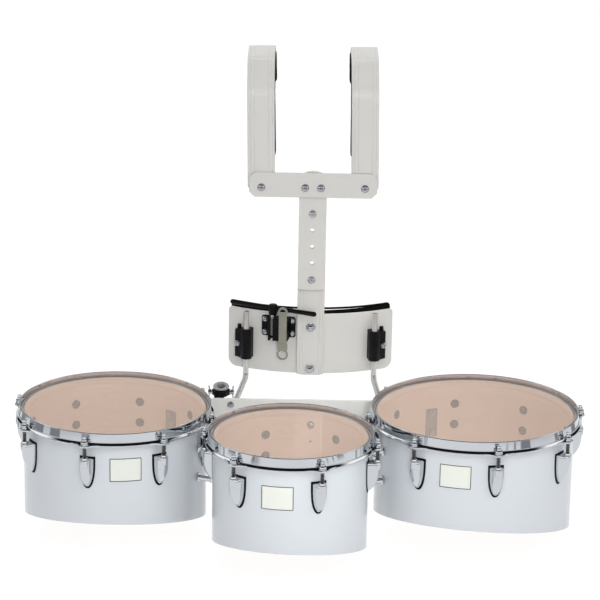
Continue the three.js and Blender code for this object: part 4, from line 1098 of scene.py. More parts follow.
def belly_point(angle, radius, height):
    """Points on level arcs about the upright axis behind the belly plate."""
    angle, radius, height = np.broadcast_arrays(angle, radius, height)
    x, y = radius * np.sin(angle), BELLY_AXIS - radius * np.cos(angle)
    return np.stack([x, y, height], -1) + ORIGIN


def corner_loss(distance, corner):
    """How far a round corner cuts in, at a distance from the end: c - sqrt(c^2 - (c - d)^2)."""
    inside = np.maximum(corner - distance, 0)
    return corner - np.sqrt(np.maximum(corner**2 - inside**2, 0))


def build_belly_plate():
    """Plate bent to an arc: at each angle a rounded section from its lower to its upper edge."""
    ease, half = eased(97), 0.0015
    angle = (BELLY_HALF * np.sign(ease) * np.abs(ease) ** 0.8)[:, None]
    distance = (BELLY_HALF - np.abs(angle)) * BELLY_RADIUS
    top = BELLY_TOP - corner_loss(distance, 0.008)
    bottom = BELLY_BOTTOM + corner_loss(distance, 0.0165)
    turn = np.linspace(0, np.pi, 9)
    depth, rise = half * np.cos(turn), half * 0.8 * (np.sin(turn) - 1)
    flat, climb = np.zeros(7), np.linspace(0, 1, 9)[1:-1]
    depth = np.concatenate([depth, flat - half, -depth, flat + half])
    share = np.concatenate([np.ones(9), climb[::-1], np.zeros(9), climb])
    height = bottom + (top - bottom) * share + np.concatenate([rise, flat, -rise, flat])
    radius = BELLY_RADIUS - half + depth * round_end(distance, 0.0012)
    make("belly_sheet", [patch(belly_point(angle, radius, height))], "coat", "belly_frame", "belly_plate")


def cushion_section(count, power):
    """Superellipse |a|^p + |b|^p = 1 as a round trip, a across and b through a cushion."""
    turn = np.linspace(0, 2 * np.pi, count, endpoint=False)
    c, s = np.cos(turn), np.sin(turn)
    size = (np.abs(c) ** power + np.abs(s) ** power) ** (-1 / power)
    return c * size, s * size


def swell(piece, held, voxel, pressure=3.0, cap=0.004, steps=20):
    """Lets a closed form fill with air: it is remeshed, its held points stay, and the rest may move no
    further than cap."""
    remesh = piece.modifiers.new("Even", "REMESH")
    remesh.mode, remesh.voxel_size = "VOXEL", voxel
    baked(piece)
    before = points_of(piece)
    group = piece.vertex_groups.new(name="held")
    group.add(np.flatnonzero(held(before)).tolist(), 1.0, "REPLACE")
    cloth = piece.modifiers.new("Air", "CLOTH")
    settings = cloth.settings
    settings.use_pressure, settings.uniform_pressure_force = True, pressure
    settings.vertex_group_mass = "held"
    settings.effector_weights.gravity = 0.0
    cloth.point_cache.frame_start, cloth.point_cache.frame_end = 1, steps
    for step in range(1, steps + 1):
        bpy.context.scene.frame_set(step)
    baked(piece)
    bpy.context.scene.frame_set(1)
    piece.vertex_groups.clear()
    move = points_of(piece) - before
    far = np.linalg.norm(move, axis=1, keepdims=True)
    return before + move * np.minimum(1, cap / np.maximum(far, 1e-9))


def points_of(piece):
    """A piece's vertices as an array."""
    points = np.empty(len(piece.data.vertices) * 3, np.float32)
    piece.data.vertices.foreach_get("co", points)
    return points.reshape(-1, 3).astype(float)


def set_points(piece, points):
    piece.data.vertices.foreach_set("co", np.asarray(points, np.float32).ravel())
    piece.data.update()


def belly_lengths(points):
    """Angle about the belly plate's axis, distance from that axis, and height, for points of the pad."""
    local = points - ORIGIN
    ahead = BELLY_AXIS - local[:, 1]
    return np.arctan2(local[:, 0], ahead), np.hypot(local[:, 0], ahead), local[:, 2]


def build_cushion(name, grid, held, kept, lengths, voxel, body, node):
    """A padded piece from a closed grid. held says which points stay while it swells, kept moves points
    back within the pad's limits, and lengths gives those that the weave follows."""
    pad = mesh_object(name, [patch(grid)], sharp=60)
    set_points(pad, kept(swell(pad, held, voxel)))
    finer = pad.modifiers.new("Fine", "SUBSURF")
    finer.levels = finer.render_levels = 1
    baked(pad)
    pad.data.shade_smooth()
    weave = pad.data.attributes.new("weave", "FLOAT_VECTOR", "POINT")
    weave.data.foreach_set("vector", np.stack(lengths(points_of(pad)), -1).astype(np.float32).ravel())
    dress(pad, "cloth", body, node)


def build_belly_pad():
    """Cushion on the player's side of the plate, in its arc: the section is a superellipse that thins
    towards both ends, with a piping round its rim."""
    thick, outer = carrier_sizes().belly_pad_thickness, BELLY_RADIUS - 0.0033
    top, bottom = 0.0848, BELLY_BOTTOM
    angle = BELLY_HALF * eased(90)[:, None]
    distance = (BELLY_HALF - np.abs(angle)) * outer
    across, through = cushion_section(64, 5.0)
    high = top - 0.001 - corner_loss(distance, 0.006)
    low = bottom + 0.001 + corner_loss(distance, 0.015)
    radius = outer - thick * 0.46 * (1 - through * (0.35 + 0.65 * round_end(distance, 0.006)))
    height = (high + low) / 2 + across * (high - low) / 2

    def near_plate(points):
        return belly_lengths(points)[1] > outer - 0.0022

    def kept(points):
        angles, radii, heights = belly_lengths(points)
        return belly_point(angles, radii.clip(outer - thick, outer), heights.clip(bottom, top))

    def lengths(points):
        angles, radii, heights = belly_lengths(points)
        return angles * outer, heights, radii

    grid = belly_point(angle, radius, height)
    build_cushion("belly_cushion", grid, near_plate, kept, lengths, 0.0035, "belly_frame", "belly_pad")
    half, low, high = (BELLY_HALF - 0.004) * outer, bottom + 0.002, top - 0.001
    loop = rounded([(-half, low), (half, low), (half, high), (-half, high)], [0.015, 0.015, 0.006, 0.006], 8)
    loop = distinct(divided(loop, 20))
    step = unit(np.roll(loop, -1, 0) - np.roll(loop, 1, 0))
    outward = np.stack([step[:, 1], -step[:, 0]], -1)
    ring = circle(0.0019, 12)
    ways = loop[:, None] + outward[:, None] * ring[:, :1]
    cord = belly_point(ways[..., 0] / outer, outer - thick * 0.5 + ring[:, 1], ways[..., 1])
    make("belly_cushion_piping", [patch(cord, loop_rows=True, caps=False)], "gasket", "belly_frame")


def grooves(width, insets):
    """Points of a face's front edge, left to right, with a shallow V at each inset from either side."""
    half, depth, wing = width / 2, 0.0009, 0.0009
    offsets = sorted([-half + i for i in insets] + [half - i for i in insets])
    return [point for x in offsets for point in ((x - wing, 0), (x, depth), (x + wing, 0))]


def build_masts():
    """Channel carried upwards and strip of one thickness, both with holes, and the cross bar. The
    strip's ends are parabolas."""
    half, wall, deep = carrier_sizes().mast_width / 2, 0.0035, 0.012
    inner = half - wall

    def arched(section):
        """Cuts the lower end back by rise (x / half)^2."""
        return 0.0035 * (section[..., 0] / 0.026) ** 2

    def bored(name, part, front, body, node):
        piece = mesh_object(name, [part])
        hole = tube(0, 0.0037, -0.01, 0.02)
        drilled(piece, *[turned(hole, row(0, front, z), BACK) for z in HOLE_HEIGHTS])
        dress(piece, "coat", body, node)

    section = [(-half, deep), (-half, 0), *grooves(2 * half, (0.0042, 0.0088)), (half, 0), (half, deep)]
    section += [(inner, deep), (inner, wall), (-inner, wall), (-inner, deep)]
    radii = [0.0006, 0.0012] + [0.0003] * 12 + [0.0012, 0.0006, 0.0006, 0.001, 0.001, 0.0006]
    path = [row(0, MAST_FRONT, -0.0323), row(0, MAST_FRONT, 0.272)]
    channel = bar(rounded(section, radii, 3), path, RIGHT, BACK, 0.0005, 3, arched)
    bored("mast_channel", channel, MAST_FRONT, "belly_frame", "mast_lower")
    x = np.linspace(-half, half, 25)
    foot = np.stack([x, 0.1238 + 0.0025 * (x / half) ** 2], -1)
    head = np.stack([x[::-1], 0.3363 - 0.008 * (x / half) ** 2], -1)
    strip = plate(np.vstack([foot, head]), row(0, STRIP_FRONT, 0), edge=0.0009)
    bored("mast_strip", strip, STRIP_FRONT, "shoulder_frame", "mast_upper")
    x, low, high, cut = 0.10925, 0.2906, 0.3336, 0.009
    outline = [(-x + cut, low), (x - cut, low), (x, low + cut), (x, high - cut)]
    outline += [(x - cut, high), (-x + cut, high), (-x, high - cut), (-x, low + cut)]
    cross = plate(rounded(outline, 0.004, 5), row(0, CROSS_FRONT, 0), edge=0.001)
    make("cross_bar", [cross], "coat", "shoulder_frame", "cross_plate")


def lean_matrix(sign):
    """A shoulder bar leans 1 degree to the audience's left about its bolt."""
    lean = np.radians(-1.0)
    turn = np.array([[np.cos(lean), 0, np.sin(lean)], [0, 1, 0], [-np.sin(lean), 0, np.cos(lean)]])
    return turn, row(sign * SHOULDER_SPREAD, 0, CROSS_LEVEL)


def hook_path(front_end, rear_end, fine=4):
    """Side view of a hook: places of the bar's outer face, and turns from upright through level to down.
    At a corner the place is centre + radius (-cos a, sin a)."""
    radius, depth = 0.03, 0.184
    places, turns = [(0.0, front_end)], [0.0]
    for y, z, start, end in ((0.0, 0.475, 0, 45), (0.046, 0.521, 45, 90), (depth, 0.521, 90, 180)):
        middle = np.radians((start + end) / 2)
        reach = radius / np.cos(np.radians(end - start) / 2)
        y, z = y + reach * np.cos(middle), z - reach * np.sin(middle)
        turn = np.radians(np.linspace(start, end, int((end - start) / 45 * 3 * fine) + 1))
        places += list(zip(y - radius * np.cos(turn), z + radius * np.sin(turn)))
        turns += list(turn)
    return np.array([*places, (depth, rear_end)]), np.array([*turns, np.pi])


def hook_frame(sign, front_end, rear_end, fine=4):
    """Places, sideways and inward directions along a hook, in the frame."""
    places, turns = hook_path(front_end, rear_end, fine)
    turn, pivot = lean_matrix(sign)
    x = np.full(len(places), sign * SHOULDER_SPREAD)
    points = np.stack([x, STRIP_FRONT + places[:, 0], places[:, 1]], -1)
    points = (points + ORIGIN - pivot) @ turn.T + pivot
    inward = np.stack([np.zeros(len(turns)), np.cos(turns), -np.sin(turns)], -1) @ turn.T
    return points, RIGHT @ turn.T, inward


def build_shoulder_bars():
    """Grooved section carried along each hook. Its front end has chamfers, |x| - start, and its rear
    end is round, (x / half)^4."""
    width, thick = carrier_sizes().bar_width, carrier_sizes().bar_thickness
    half = width / 2
    section = [(-half, thick), (-half, 0), *grooves(width, (0.0047, 0.0111)), (half, 0), (half, thick)]
    section = rounded(section, [0.0014] * 2 + [0.0003] * 12 + [0.0014] * 2, 3)

    def chamfered(outline):
        return np.maximum(np.abs(outline[..., 0]) - (half - 0.012), 0)

    def curved(outline):
        return 0.01 * (np.abs(outline[..., 0]) / half) ** 4

    for side, sign in HANDS:
        hook = bar(section, *hook_frame(sign, 0.295, 0.463), 0.001, 3, chamfered, curved)
        make(f"shoulder_hook_{side}", [hook], "coat", f"shoulder_{side}", f"shoulder_bar_{side}")


def hook_lengths(sign, points):
    """Length along a hook, offset across it and depth below the bar's outer face, by the nearest place
    on its path, and the inward direction there."""
    places, across, inward = hook_frame(sign, 0.3, 0.44, 12)
    fine, numbers = np.linspace(0, len(places) - 1, 600), np.arange(len(places))

    def between(rows):
        return np.stack([np.interp(fine, numbers, column) for column in rows.T], -1)

    dense, dense_in = between(places), unit(between(inward))
    length = np.concatenate([[0], np.cumsum(np.linalg.norm(np.diff(dense, axis=0), axis=1))])
    flat = points - ((points - places[0]) @ across)[:, None] * across
    base = dense - ((dense - places[0]) @ across)[:, None] * across + 0.012 * dense_in
    nearest = np.argmin(((flat[:, None] - base[None]) ** 2).sum(-1), axis=1)
    depth = ((points - dense[nearest]) * dense_in[nearest]).sum(1)
    return length[nearest], (points - places[0]) @ across, depth, dense_in[nearest]


def build_shoulder_pads():
    """Cushions under the bars: a superellipse carried along each hook, which thins at both ends."""
    thick, bar_thick = carrier_sizes().pad_thickness, carrier_sizes().bar_thickness
    low, half, aside = bar_thick + 0.0003, 0.049 / 2, 0.002
    extra, thin = np.array([[0.0], [0.004], [0.01]]), [0.45, 0.86, 1.0]
    a, b = cushion_section(44, 4.0)
    for side, sign in HANDS:
        points, across, inward = hook_frame(sign, 0.359, 0.452, 3)
        down, rear = unit(points[1] - points[0]), unit(points[-1] - points[-2])
        path = np.vstack([points[0] + down * extra, points[1:-1], points[-1] - rear * extra[::-1]])
        inside = np.vstack([[inward[0]] * 3, inward[1:-1], [inward[-1]] * 3])
        full = np.concatenate([thin, np.ones(len(points) - 2), thin[::-1]])[:, None]
        offset = a * (half - 0.001) * (0.9 + 0.1 * full) - sign * aside
        depth = low + (thick - 0.002) * (0.5 + 0.5 * b) * full
        grid = path[:, None] + offset[..., None] * across + depth[..., None] * inside[:, None]

        def near_bar(points):
            return hook_lengths(sign, points)[2] < bar_thick + 0.0026

        def kept(points):
            _, offset, depth, normal = hook_lengths(sign, points)
            limit = (offset + sign * aside).clip(-half, half) - sign * aside
            inwards = (depth.clip(low, low + thick) - depth)[:, None] * normal
            return points + inwards + (limit - offset)[:, None] * across

        def lengths(points):
            return hook_lengths(sign, points)[:3]

        body, node = f"shoulder_{side}", f"shoulder_pad_{side}"
        build_cushion(f"shoulder_cushion_{side}", grid, near_bar, kept, lengths, 0.003, body, node)


def build_clamps():
    """Grips: an outline of an arc and an ear, given a height, and turned with the belly plate."""
    turn = np.degrees(np.arcsin(ROD_SPREAD / 0.279))
    arc = arc_points((0, -0.014), 0.01, 138.6, 342.5, 40)
    ear = rounded(mm((0, -17), (21, -17), (21, -5), (0, -5)), 0.0022)
    outline = np.vstack([mm((-7.5, -0.3)), arc, ear[ear[:, 0] > 0.012], mm((7.5, -5), (7.5, -0.3))])
    knob = mm((0, 9), (2.8, 8.8), (3.6, 8), (3.6, 0), (4.4, -0.2), (4.4, -2), (0, -2))
    for side, sign in HANDS:
        foot = belly_point(np.radians(sign * turn), BELLY_RADIUS, -0.009)
        points, faces = plate(outline * (sign, 1), foot, RIGHT, BACK, UP, 0.054, 0.001)
        on_ear = ((sign * (points[:, 0] - foot[0]) - 0.0095) / 0.002).clip(0, 1)
        height = points[:, 2] - foot[2]
        points[:, 2] += on_ear * (height.clip(0.002, 0.051) - height)
        grip, bore, stud, *screw = spun(
            [
                (points, faces),
                turned(tube(0, 0.0053, -0.01, 0.07), foot + (0, -0.014, 0), segments=48),
                turned(knob, foot + (sign * 0.0145, -0.011, 0.051)),
                *bolt_parts(foot + (sign * 0.0162, -0.017, 0.026), -BACK, 0.009, 0.0105),
            ],
            sign * turn,
            foot,
        )
        clamp = drilled(mesh_object(f"rod_grip_{side}", [grip]), bore)
        dress(clamp, "plastic", "belly_frame", f"rod_clamp_{side}")
        make(f"grip_stud_{side}", [stud], "plastic", "belly_frame")
        make(f"grip_screw_{side}", screw, "chrome", "belly_frame")


def build_tool_holder(turn, foot):
    """Flat back and a body with two slots, each an outline given a thickness."""
    top, low, under, half = 0.071, 0.0345, 0.031, 0.03
    middle, body_half = 0.0022, 0.01725
    left, right = middle - body_half, middle + body_half
    outline = [(-half, low), (left, low), (left, under), (right, under), (right, low), (half, low)]
    outline = rounded([*outline, (half, top), (-half, top)], [0.004] + [0.002] * 4 + [0.004] * 3, 5)
    back = plate(outline, foot + (0, -0.0038, 0), thickness=0.0035, edge=0.0006)
    outline = rounded(rectangle(2 * body_half, 0.022) + (middle, -0.0115), 0.0022)
    body = plate(outline, foot + under * UP, RIGHT, BACK, UP, top - under, 0.001)
    slots = [
        plate(rectangle(*size) + place, foot + (under - 0.005) * UP, RIGHT, BACK, UP, 0.057, 0.0001, 1)
        for size, place in (((0.0056, 0.0185), (-0.009, -0.0154)), ((0.0146, 0.0082), (0.0115, -0.0245)))
    ]
    holder = mesh_object("tool_clip", spun([back, body], turn, foot))
    drilled(holder, *spun(slots, turn, foot))
    dress(holder, "plastic", "belly_frame", "tool_holder")
    spots = np.array([(x, -0.0038, z) for x in (-0.0245, 0.0245) for z in (0.0645, 0.0415)])
    screws = bolt_parts(foot + spots, -BACK, 0.0082, 0.0096)
    make("holder_screws", spun(screws, turn, foot), "chrome", "belly_frame")


def build_hex_key(turn, foot):
    """Six-sided blade under a hub that holds a bar grip, whose radius is (0.84 + 0.16 |t|^3) of the full
    one at a share t of its half length."""
    length, radius, level, hub_height = 0.166, 0.0045, 0.087, 0.019
    axis = foot + (-0.009, -0.009, 0)
    base = axis + (level - hub_height * 0.65) * UP
    hub = rounded(tube(0, 0.0075, 0, hub_height), [0, 0.0022, 0.0022, 0])
    neck = mm((0, -10.2), (2.6, -10.2), (2.7, -9.4), (2.7, 4), (0, 4))
    hub, neck = spun([turned(hub, base, segments=48), turned(neck, base)], turn, foot)
    t = eased(61)
    bulge = radius * (0.84 + 0.16 * np.abs(t) ** 3) * round_end((1 - np.abs(t)) * length / 2, radius)
    middle = spun([(axis + level * UP, [])], turn, foot)[0][0]
    heading = np.radians(turn - 13.4)
    along = np.array([np.cos(heading), np.sin(heading), 0.0])
    grip = turned(np.stack([bulge, length / 2 * t], -1), middle, along, 40)
    make("key_grip", [hub, grip, neck], "handle", "hex_key", "hex_key")
    key = hexagon(0.0025, 36)
    blade = [(0, -0.036), (key * 0.9, -0.036), (key, -0.0354), (key, 0.004), (0, 0.004)]
    blade = turned(blade, base + (0, -0.0045, 0), segments=36)
    make("key_blade", spun([blade], turn, foot), "zinc", "hex_key")


def build_flat_key(turn, foot):
    """Two arcs joined by straight sides, given a thickness, with a hole at each end."""
    x, front, high, low = 0.0115, -0.0233, 0.0848, 0.0075
    half, head, ring = 0.007, 0.0085, 0.01
    head_turn, ring_turn = np.degrees(np.arccos([half / head, half / ring]))
    head_arc = arc_points((x, high), head, -head_turn, 180 + head_turn, 32)
    ring_arc = arc_points((x, low), ring, 180 - ring_turn, 360 + ring_turn, 40)
    flat = plate(np.vstack([head_arc, ring_arc]), foot + (0, front, 0), thickness=0.0026, edge=0.0006)
    tool = mesh_object("flat_key", spun([flat], turn, foot))
    holes = [
        turned(tube(0, radius, -0.01, 0.01), foot + (x, front, z), BACK, 48)
        for radius, z in ((0.005, high), (0.0072, low))
    ]
    drilled(tool, *spun(holes, turn, foot))
    dress(tool, "key", "spanner", "spanner")
    eye = rounded(tube(0.005, 0.0068, -0.0001, 0.0007), 0.0002)
    eye = turned(eye, foot + (x, front, high), -BACK, 48)
    collar = rounded(rectangle(0.0172, 0.013) + (x, low + 0.0137), 0.0016)
    collar = plate(collar, foot + (0, front - 0.0008, 0), thickness=0.0042, edge=0.0006)
    make("flat_key_collar", spun([eye, collar], turn, foot), "key", "spanner")


def build_tools():
    turn = np.arcsin(-0.055 / BELLY_RADIUS)
    foot = belly_point(turn, BELLY_RADIUS, 0.0)
    for build in (build_tool_holder, build_hex_key, build_flat_key):
        build(np.degrees(turn), foot)


def build_bolts():
    """Bolts of the cross bar and of both masts: the lower ones have toothed washers and cap nuts."""
    width = carrier_sizes().bolt_width
    spots = [(x, CROSS_FRONT, CROSS_LEVEL) for x in (-SHOULDER_SPREAD, SHOULDER_SPREAD, -0.0135, 0.0135)]
    spots += [(0, STRIP_FRONT, z) for z in HOLE_HEIGHTS[[0, 4]]]
    bolts = bolt_parts(np.array(spots) + ORIGIN, -BACK, width * 0.82, width)
    make("carrier_bolts", bolts, "chrome", "shoulder_frame")
    places = [row(0, MAST_FRONT, z) for z in (0.0565, -0.02)]
    teeth = np.sin(9 * np.linspace(0, 2 * np.pi, 120, endpoint=False)) > -0.35
    rim, nut = np.where(teeth, 0.0088, 0.0066), hexagon(0.0055, 60)
    star = [(0, -0.0001), (rim, -0.0001), (rim, 0.0011), (rim * 0.97, 0.0015), *mm((5.6, 2.2), (0, 2.2))]
    cap = [*mm((0, 8.2), (2, 8), (3.6, 7), (4, 6.2)), (nut * 0.94, 0.006), (nut, 0.0053)]
    cap += [(nut, 0.002), (0, 0.002)]
    toothed = [turned(star, places, -BACK, 120), turned(cap, places, -BACK, 60)]
    make("mast_bolts", toothed, "chrome", "belly_frame")


# Stage

# Name, place, target, power, size, and the cone of a spot lamp in degrees
LAMPS = (
    ("key", (2.8, -2.7, 2.3), (0, -0.2, -0.5), 36.0, 2.2, None),
    ("fill", (-2.2, 1.6, 3.0), (-0.35, -0.4, -0.5), 38.0, 2.4, None),
    ("front", (0.0, -3.4, 2.0), (0, -0.1, -0.6), 32.0, 1.8, None),
    ("low", (0.2, -3.4, -0.2), (0, 0.2, -0.45), 13.0, 0.9, None),
    ("rear", (0.4, 3.0, 2.8), (0, -0.2, -0.2), 50.0, 2.4, None),
    ("waist", (0.3, -3.6, 0.75), (0.03, -0.22, -0.54), 155.0, 0.2, 8.5),
)


def build_floor():
    """Pale floor. Reflections see it fall to grey far from the drums, and darker flags at both sides."""
    radius = np.array([0.0, 1.0, 3.0, 8.0, 30.0])[:, None]
    turn = np.linspace(0, 2 * np.pi, 64, endpoint=False)[None]
    x, y = radius * np.cos(turn), radius * np.sin(turn)
    level = np.full_like(x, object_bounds()[0].z - 0.0006)
    floor = mesh_object("floor", [patch(np.stack([x, y, level], -1), caps=False)])
    graph = new_material("pale_floor")
    camera, glossy, through = graph.rays("Camera", "Glossy", "Transmission")
    place = graph.place()
    pale = graph.blend(graph.noise(place, 40.0), linear(238, 238, 238), linear(243, 243, 243))
    diffuse = graph.add("ShaderNodeBsdfDiffuse", sockets={"Color": pale})
    x, y, _ = graph.split(place)
    y = y - DRUM_LINE
    span = (x * x + y * y) ** 0.5
    around = graph.stretched(place, (1.0, 1.0, 0.0))
    around = graph.add("ShaderNodeVectorMath", {"operation": "NORMALIZE"}, {0: around})
    beside = ((x.math("ABSOLUTE") / span - 0.62) * 8.0).clamped()
    flags = ((graph.noise(around, 5.0, 2.0) - 0.5) * 20.0).clamped() * beside
    flags = flags * ((span - 0.88) * 8.0).clamped(0.85)
    dark = ((span - 1.1) * 1.6).clamped().math("MAXIMUM", flags) * glossy
    lit = graph.blend(glossy, (1.0, 1.0, 1.0), (0.84, 0.85, 0.86))
    lit = graph.blend(dark, lit, (0.14, 0.15, 0.165))
    glow = graph.add("ShaderNodeEmission", sockets={"Color": lit, "Strength": 1.09})
    shown = (camera.math("MAXIMUM", through) * 0.86).math("MAXIMUM", glossy)
    mixed = graph.add("ShaderNodeMixShader", sockets={0: shown, 1: diffuse, 2: glow})
    graph.add("ShaderNodeOutputMaterial", sockets={"Surface": mixed})
    floor.data.materials.append(graph.owner)
    floor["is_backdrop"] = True


def build_world():
    """White to the camera and soft grey as light. Reflections see bands of bright and dark by height,
    one set ahead of the drums and one behind them."""
    world = bpy.data.worlds.new("studio")
    bpy.context.scene.world = world
    graph = Graph(world)
    camera, glossy = graph.rays("Camera", "Glossy")
    _, y, z = graph.split(graph.add("ShaderNodeTexCoord", output="Generated"))
    white, bright, dark = (0.9, 0.9, 0.9, 1), (1.3, 1.3, 1.3, 1), (0.015, 0.015, 0.018, 1)
    stops_ahead = ((0, white), (0.48, white), (0.5, bright), (0.655, bright), (0.68, dark), (1, dark))
    stops_behind = ((0, white), (0.62, white), (0.66, dark), (0.75, dark), (0.79, bright), (0.87, bright))
    ahead, behind = (
        graph.add("ShaderNodeValToRGB", {"stops": stops}, {0: z * 0.5 + 0.5})
        for stops in (stops_ahead, (*stops_behind, (0.91, dark)))
    )
    clamped_sum = {"operation": "MULTIPLY_ADD", "use_clamp": True}
    front = graph.add("ShaderNodeMath", clamped_sum, {0: y, 1: -3.0, 2: 0.5})
    reflected = graph.blend(front, behind, ahead)
    ambient = graph.blend(glossy, (0.43, 0.44, 0.455), reflected)
    seen = graph.blend(camera, ambient, (1.0, 1.0, 1.0))
    shader = graph.add("ShaderNodeBackground", sockets={"Color": seen, "Strength": 1.0})
    graph.add("ShaderNodeOutputWorld", sockets={"Surface": shader})


def build_lamps():
    """Soft area lamps and one spot, each turned from its place to its target."""
    for name, place, target, power, size, cone in LAMPS:
        lamp = bpy.data.lights.new(name, "SPOT" if cone else "AREA")
        lamp.energy = power
        if cone:
            lamp.spot_size, lamp.spot_blend, lamp.shadow_soft_size = np.radians(cone), 1.0, size
        else:
            lamp.size = size
        holder = bpy.data.objects.new(name, lamp)
        bpy.context.scene.collection.objects.link(holder)
        holder.location = place
        holder.visible_glossy = holder.visible_camera = False
        holder.rotation_euler = (Vector(target) - Vector(place)).to_track_quat("-Z", "Y").to_euler()


def build_camera():
    """Camera that looks down by the pitch and is rolled about its view, both in radians."""
    pitch, roll, place = 0.2964, 0.0173, (-0.01917, -4.4922, 0.95254)
    forward = np.array([0, np.cos(pitch), -np.sin(pitch)])
    up = np.array([0, np.sin(pitch), np.cos(pitch)])
    side = np.cos(roll) * RIGHT + np.sin(roll) * up
    top = -np.sin(roll) * RIGHT + np.cos(roll) * up
    camera = bpy.data.cameras.new("camera")
    camera.lens, camera.sensor_width = 159.6, 36.0
    camera.clip_start, camera.clip_end = 0.05, 100.0
    viewer = bpy.data.objects.new("camera", camera)
    bpy.context.scene.collection.objects.link(viewer)
    matrix = np.eye(4)
    matrix[:3] = np.stack([side, top, -forward, place], -1)
    viewer.matrix_world = Matrix(matrix.tolist())
    bpy.context.scene.camera = viewer


def build_stage():
    build_floor()
    build_world()
    build_lamps()
    build_camera()
    bpy.context.scene.view_settings.view_transform = "Standard"


# Operators and panel


class TENOR_OT_shells(bpy.types.Operator):
    """Builds the slant-cut shells, with the vent in the centre one"""

    bl_idname, bl_label = "tenor.shells", "Shells"

    def execute(self, context):
        build_shells()
        return {"FINISHED"}


class TENOR_OT_heads(bpy.types.Operator):
    """Builds the clear heads and their flesh rings"""

    bl_idname, bl_label = "tenor.heads", "Heads"

    def execute(self, context):
        build_heads()
        return {"FINISHED"}


class TENOR_OT_hoops(bpy.types.Operator):
    """Builds the counterhoops and the tension rods"""

    bl_idname, bl_label = "tenor.hoops", "Hoops"

    def execute(self, context):
        build_hoops()
        return {"FINISHED"}


class TENOR_OT_lugs(bpy.types.Operator):
    """Builds the lug casings, their gaskets and the washers inside the shells"""

    bl_idname, bl_label = "tenor.lugs", "Lugs"

    def execute(self, context):
        build_lugs()
        return {"FINISHED"}


class TENOR_OT_plates(bpy.types.Operator):
    """Builds the bare plates on the shells"""

    bl_idname, bl_label = "tenor.plates", "Bare plates"

    def execute(self, context):
        build_plates()
        return {"FINISHED"}


class TENOR_OT_spacers(bpy.types.Operator):
    """Builds the bolts between neighbouring shells"""

    bl_idname, bl_label = "tenor.spacers", "Spacers"

    def execute(self, context):
        build_spacers()
        return {"FINISHED"}


class TENOR_OT_rail(bpy.types.Operator):
    """Builds the rail, its fixings and the plates behind them"""

    bl_idname, bl_label = "tenor.rail", "Rail"

    def execute(self, context):
        build_rail()
        build_backing_plates()
        return {"FINISHED"}


class TENOR_OT_hangers(bpy.types.Operator):
    """Builds the two bent rods that carry the rail"""

    bl_idname, bl_label = "tenor.hangers", "Bent rods"

    def execute(self, context):
        build_bent_rods()
        return {"FINISHED"}


class TENOR_OT_clip(bpy.types.Operator):
    """Builds the accessory clip with its collar and wing screws"""

    bl_idname, bl_label = "tenor.clip", "Accessory clip"

    def execute(self, context):
        build_clip()
        return {"FINISHED"}


class TENOR_OT_belly(bpy.types.Operator):
    """Builds the bent belly plate and its cushion"""

    bl_idname, bl_label = "tenor.belly", "Belly plate and cushion"

    def execute(self, context):
        build_belly_plate()
        build_belly_pad()
        return {"FINISHED"}


class TENOR_OT_masts(bpy.types.Operator):
    """Builds both masts and the cross bar"""

    bl_idname, bl_label = "tenor.masts", "Masts"

    def execute(self, context):
        build_masts()
        return {"FINISHED"}


class TENOR_OT_hooks(bpy.types.Operator):
    """Builds the grooved bars that bend over the shoulders"""

    bl_idname, bl_label = "tenor.hooks", "Shoulder bars"

    def execute(self, context):
        build_shoulder_bars()
        return {"FINISHED"}


class TENOR_OT_cushions(bpy.types.Operator):
    """Builds the cushions under the shoulder bars"""

    bl_idname, bl_label = "tenor.cushions", "Shoulder cushions"

    def execute(self, context):
        build_shoulder_pads()
        return {"FINISHED"}


class TENOR_OT_clamps(bpy.types.Operator):
    """Builds the clamps that grip the bent rods"""

    bl_idname, bl_label = "tenor.clamps", "Rod clamps"

    def execute(self, context):
        build_clamps()
        return {"FINISHED"}


class TENOR_OT_tools(bpy.types.Operator):
    """Builds the tool holder, the hex key and the flat key"""

    bl_idname, bl_label = "tenor.tools", "Tools"

    def execute(self, context):
        build_tools()
        return {"FINISHED"}


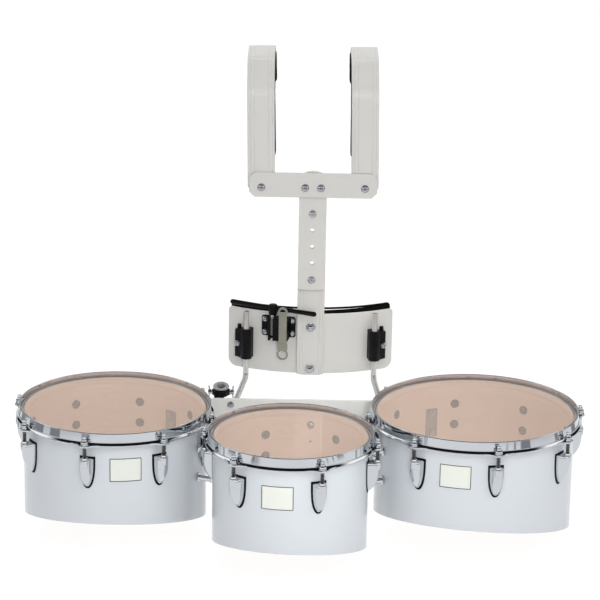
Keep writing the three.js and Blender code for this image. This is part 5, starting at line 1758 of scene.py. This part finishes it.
class TENOR_OT_bolts(bpy.types.Operator):
    """Builds the bolts of the carrier"""

    bl_idname, bl_label = "tenor.bolts", "Carrier bolts"

    def execute(self, context):
        build_bolts()
        return {"FINISHED"}


class TENOR_OT_stage(bpy.types.Operator):
    """Builds the floor, the light and the camera"""

    bl_idname, bl_label = "tenor.stage", "Stage"

    def execute(self, context):
        build_stage()
        return {"FINISHED"}


OPERATORS = (
    TENOR_OT_shells, TENOR_OT_heads, TENOR_OT_hoops, TENOR_OT_lugs, TENOR_OT_plates, TENOR_OT_spacers,
    TENOR_OT_rail, TENOR_OT_hangers, TENOR_OT_clip, TENOR_OT_belly, TENOR_OT_masts, TENOR_OT_hooks,
    TENOR_OT_cushions, TENOR_OT_clamps, TENOR_OT_tools, TENOR_OT_bolts, TENOR_OT_stage,
)


class TENOR_PT_sidebar(bpy.types.Panel):
    bl_idname, bl_label = "TENOR_PT_sidebar", "Tenors"
    bl_space_type, bl_region_type, bl_category = "VIEW_3D", "UI", "Tenors"

    def draw(self, context):
        for group in (context.scene.tenor_drums, context.scene.tenor_carrier, context.scene.tenor_finishes):
            box = self.layout.box()
            for name in group.bl_rna.properties.keys():
                if name not in ("rna_type", "name"):
                    box.prop(group, name)
        for operator in OPERATORS:
            self.layout.operator(operator.bl_idname)


GROUPS = {"tenor_drums": TenorDrumSizes, "tenor_carrier": TenorCarrierSizes, "tenor_finishes": TenorFinishes}


def register():
    for group in (*GROUPS.values(), *OPERATORS, TENOR_PT_sidebar):
        bpy.utils.register_class(group)
    for name, group in GROUPS.items():
        setattr(bpy.types.Scene, name, bpy.props.PointerProperty(type=group))


def unregister():
    for name in GROUPS:
        delattr(bpy.types.Scene, name)
    for group in (TENOR_PT_sidebar, *OPERATORS[::-1], *list(GROUPS.values())[::-1]):
        bpy.utils.unregister_class(group)


def main():
    register()
    for operator in OPERATORS:
        family, name = operator.bl_idname.split(".")
        getattr(getattr(bpy.ops, family), name)()


if __name__ == "__main__":
    main()
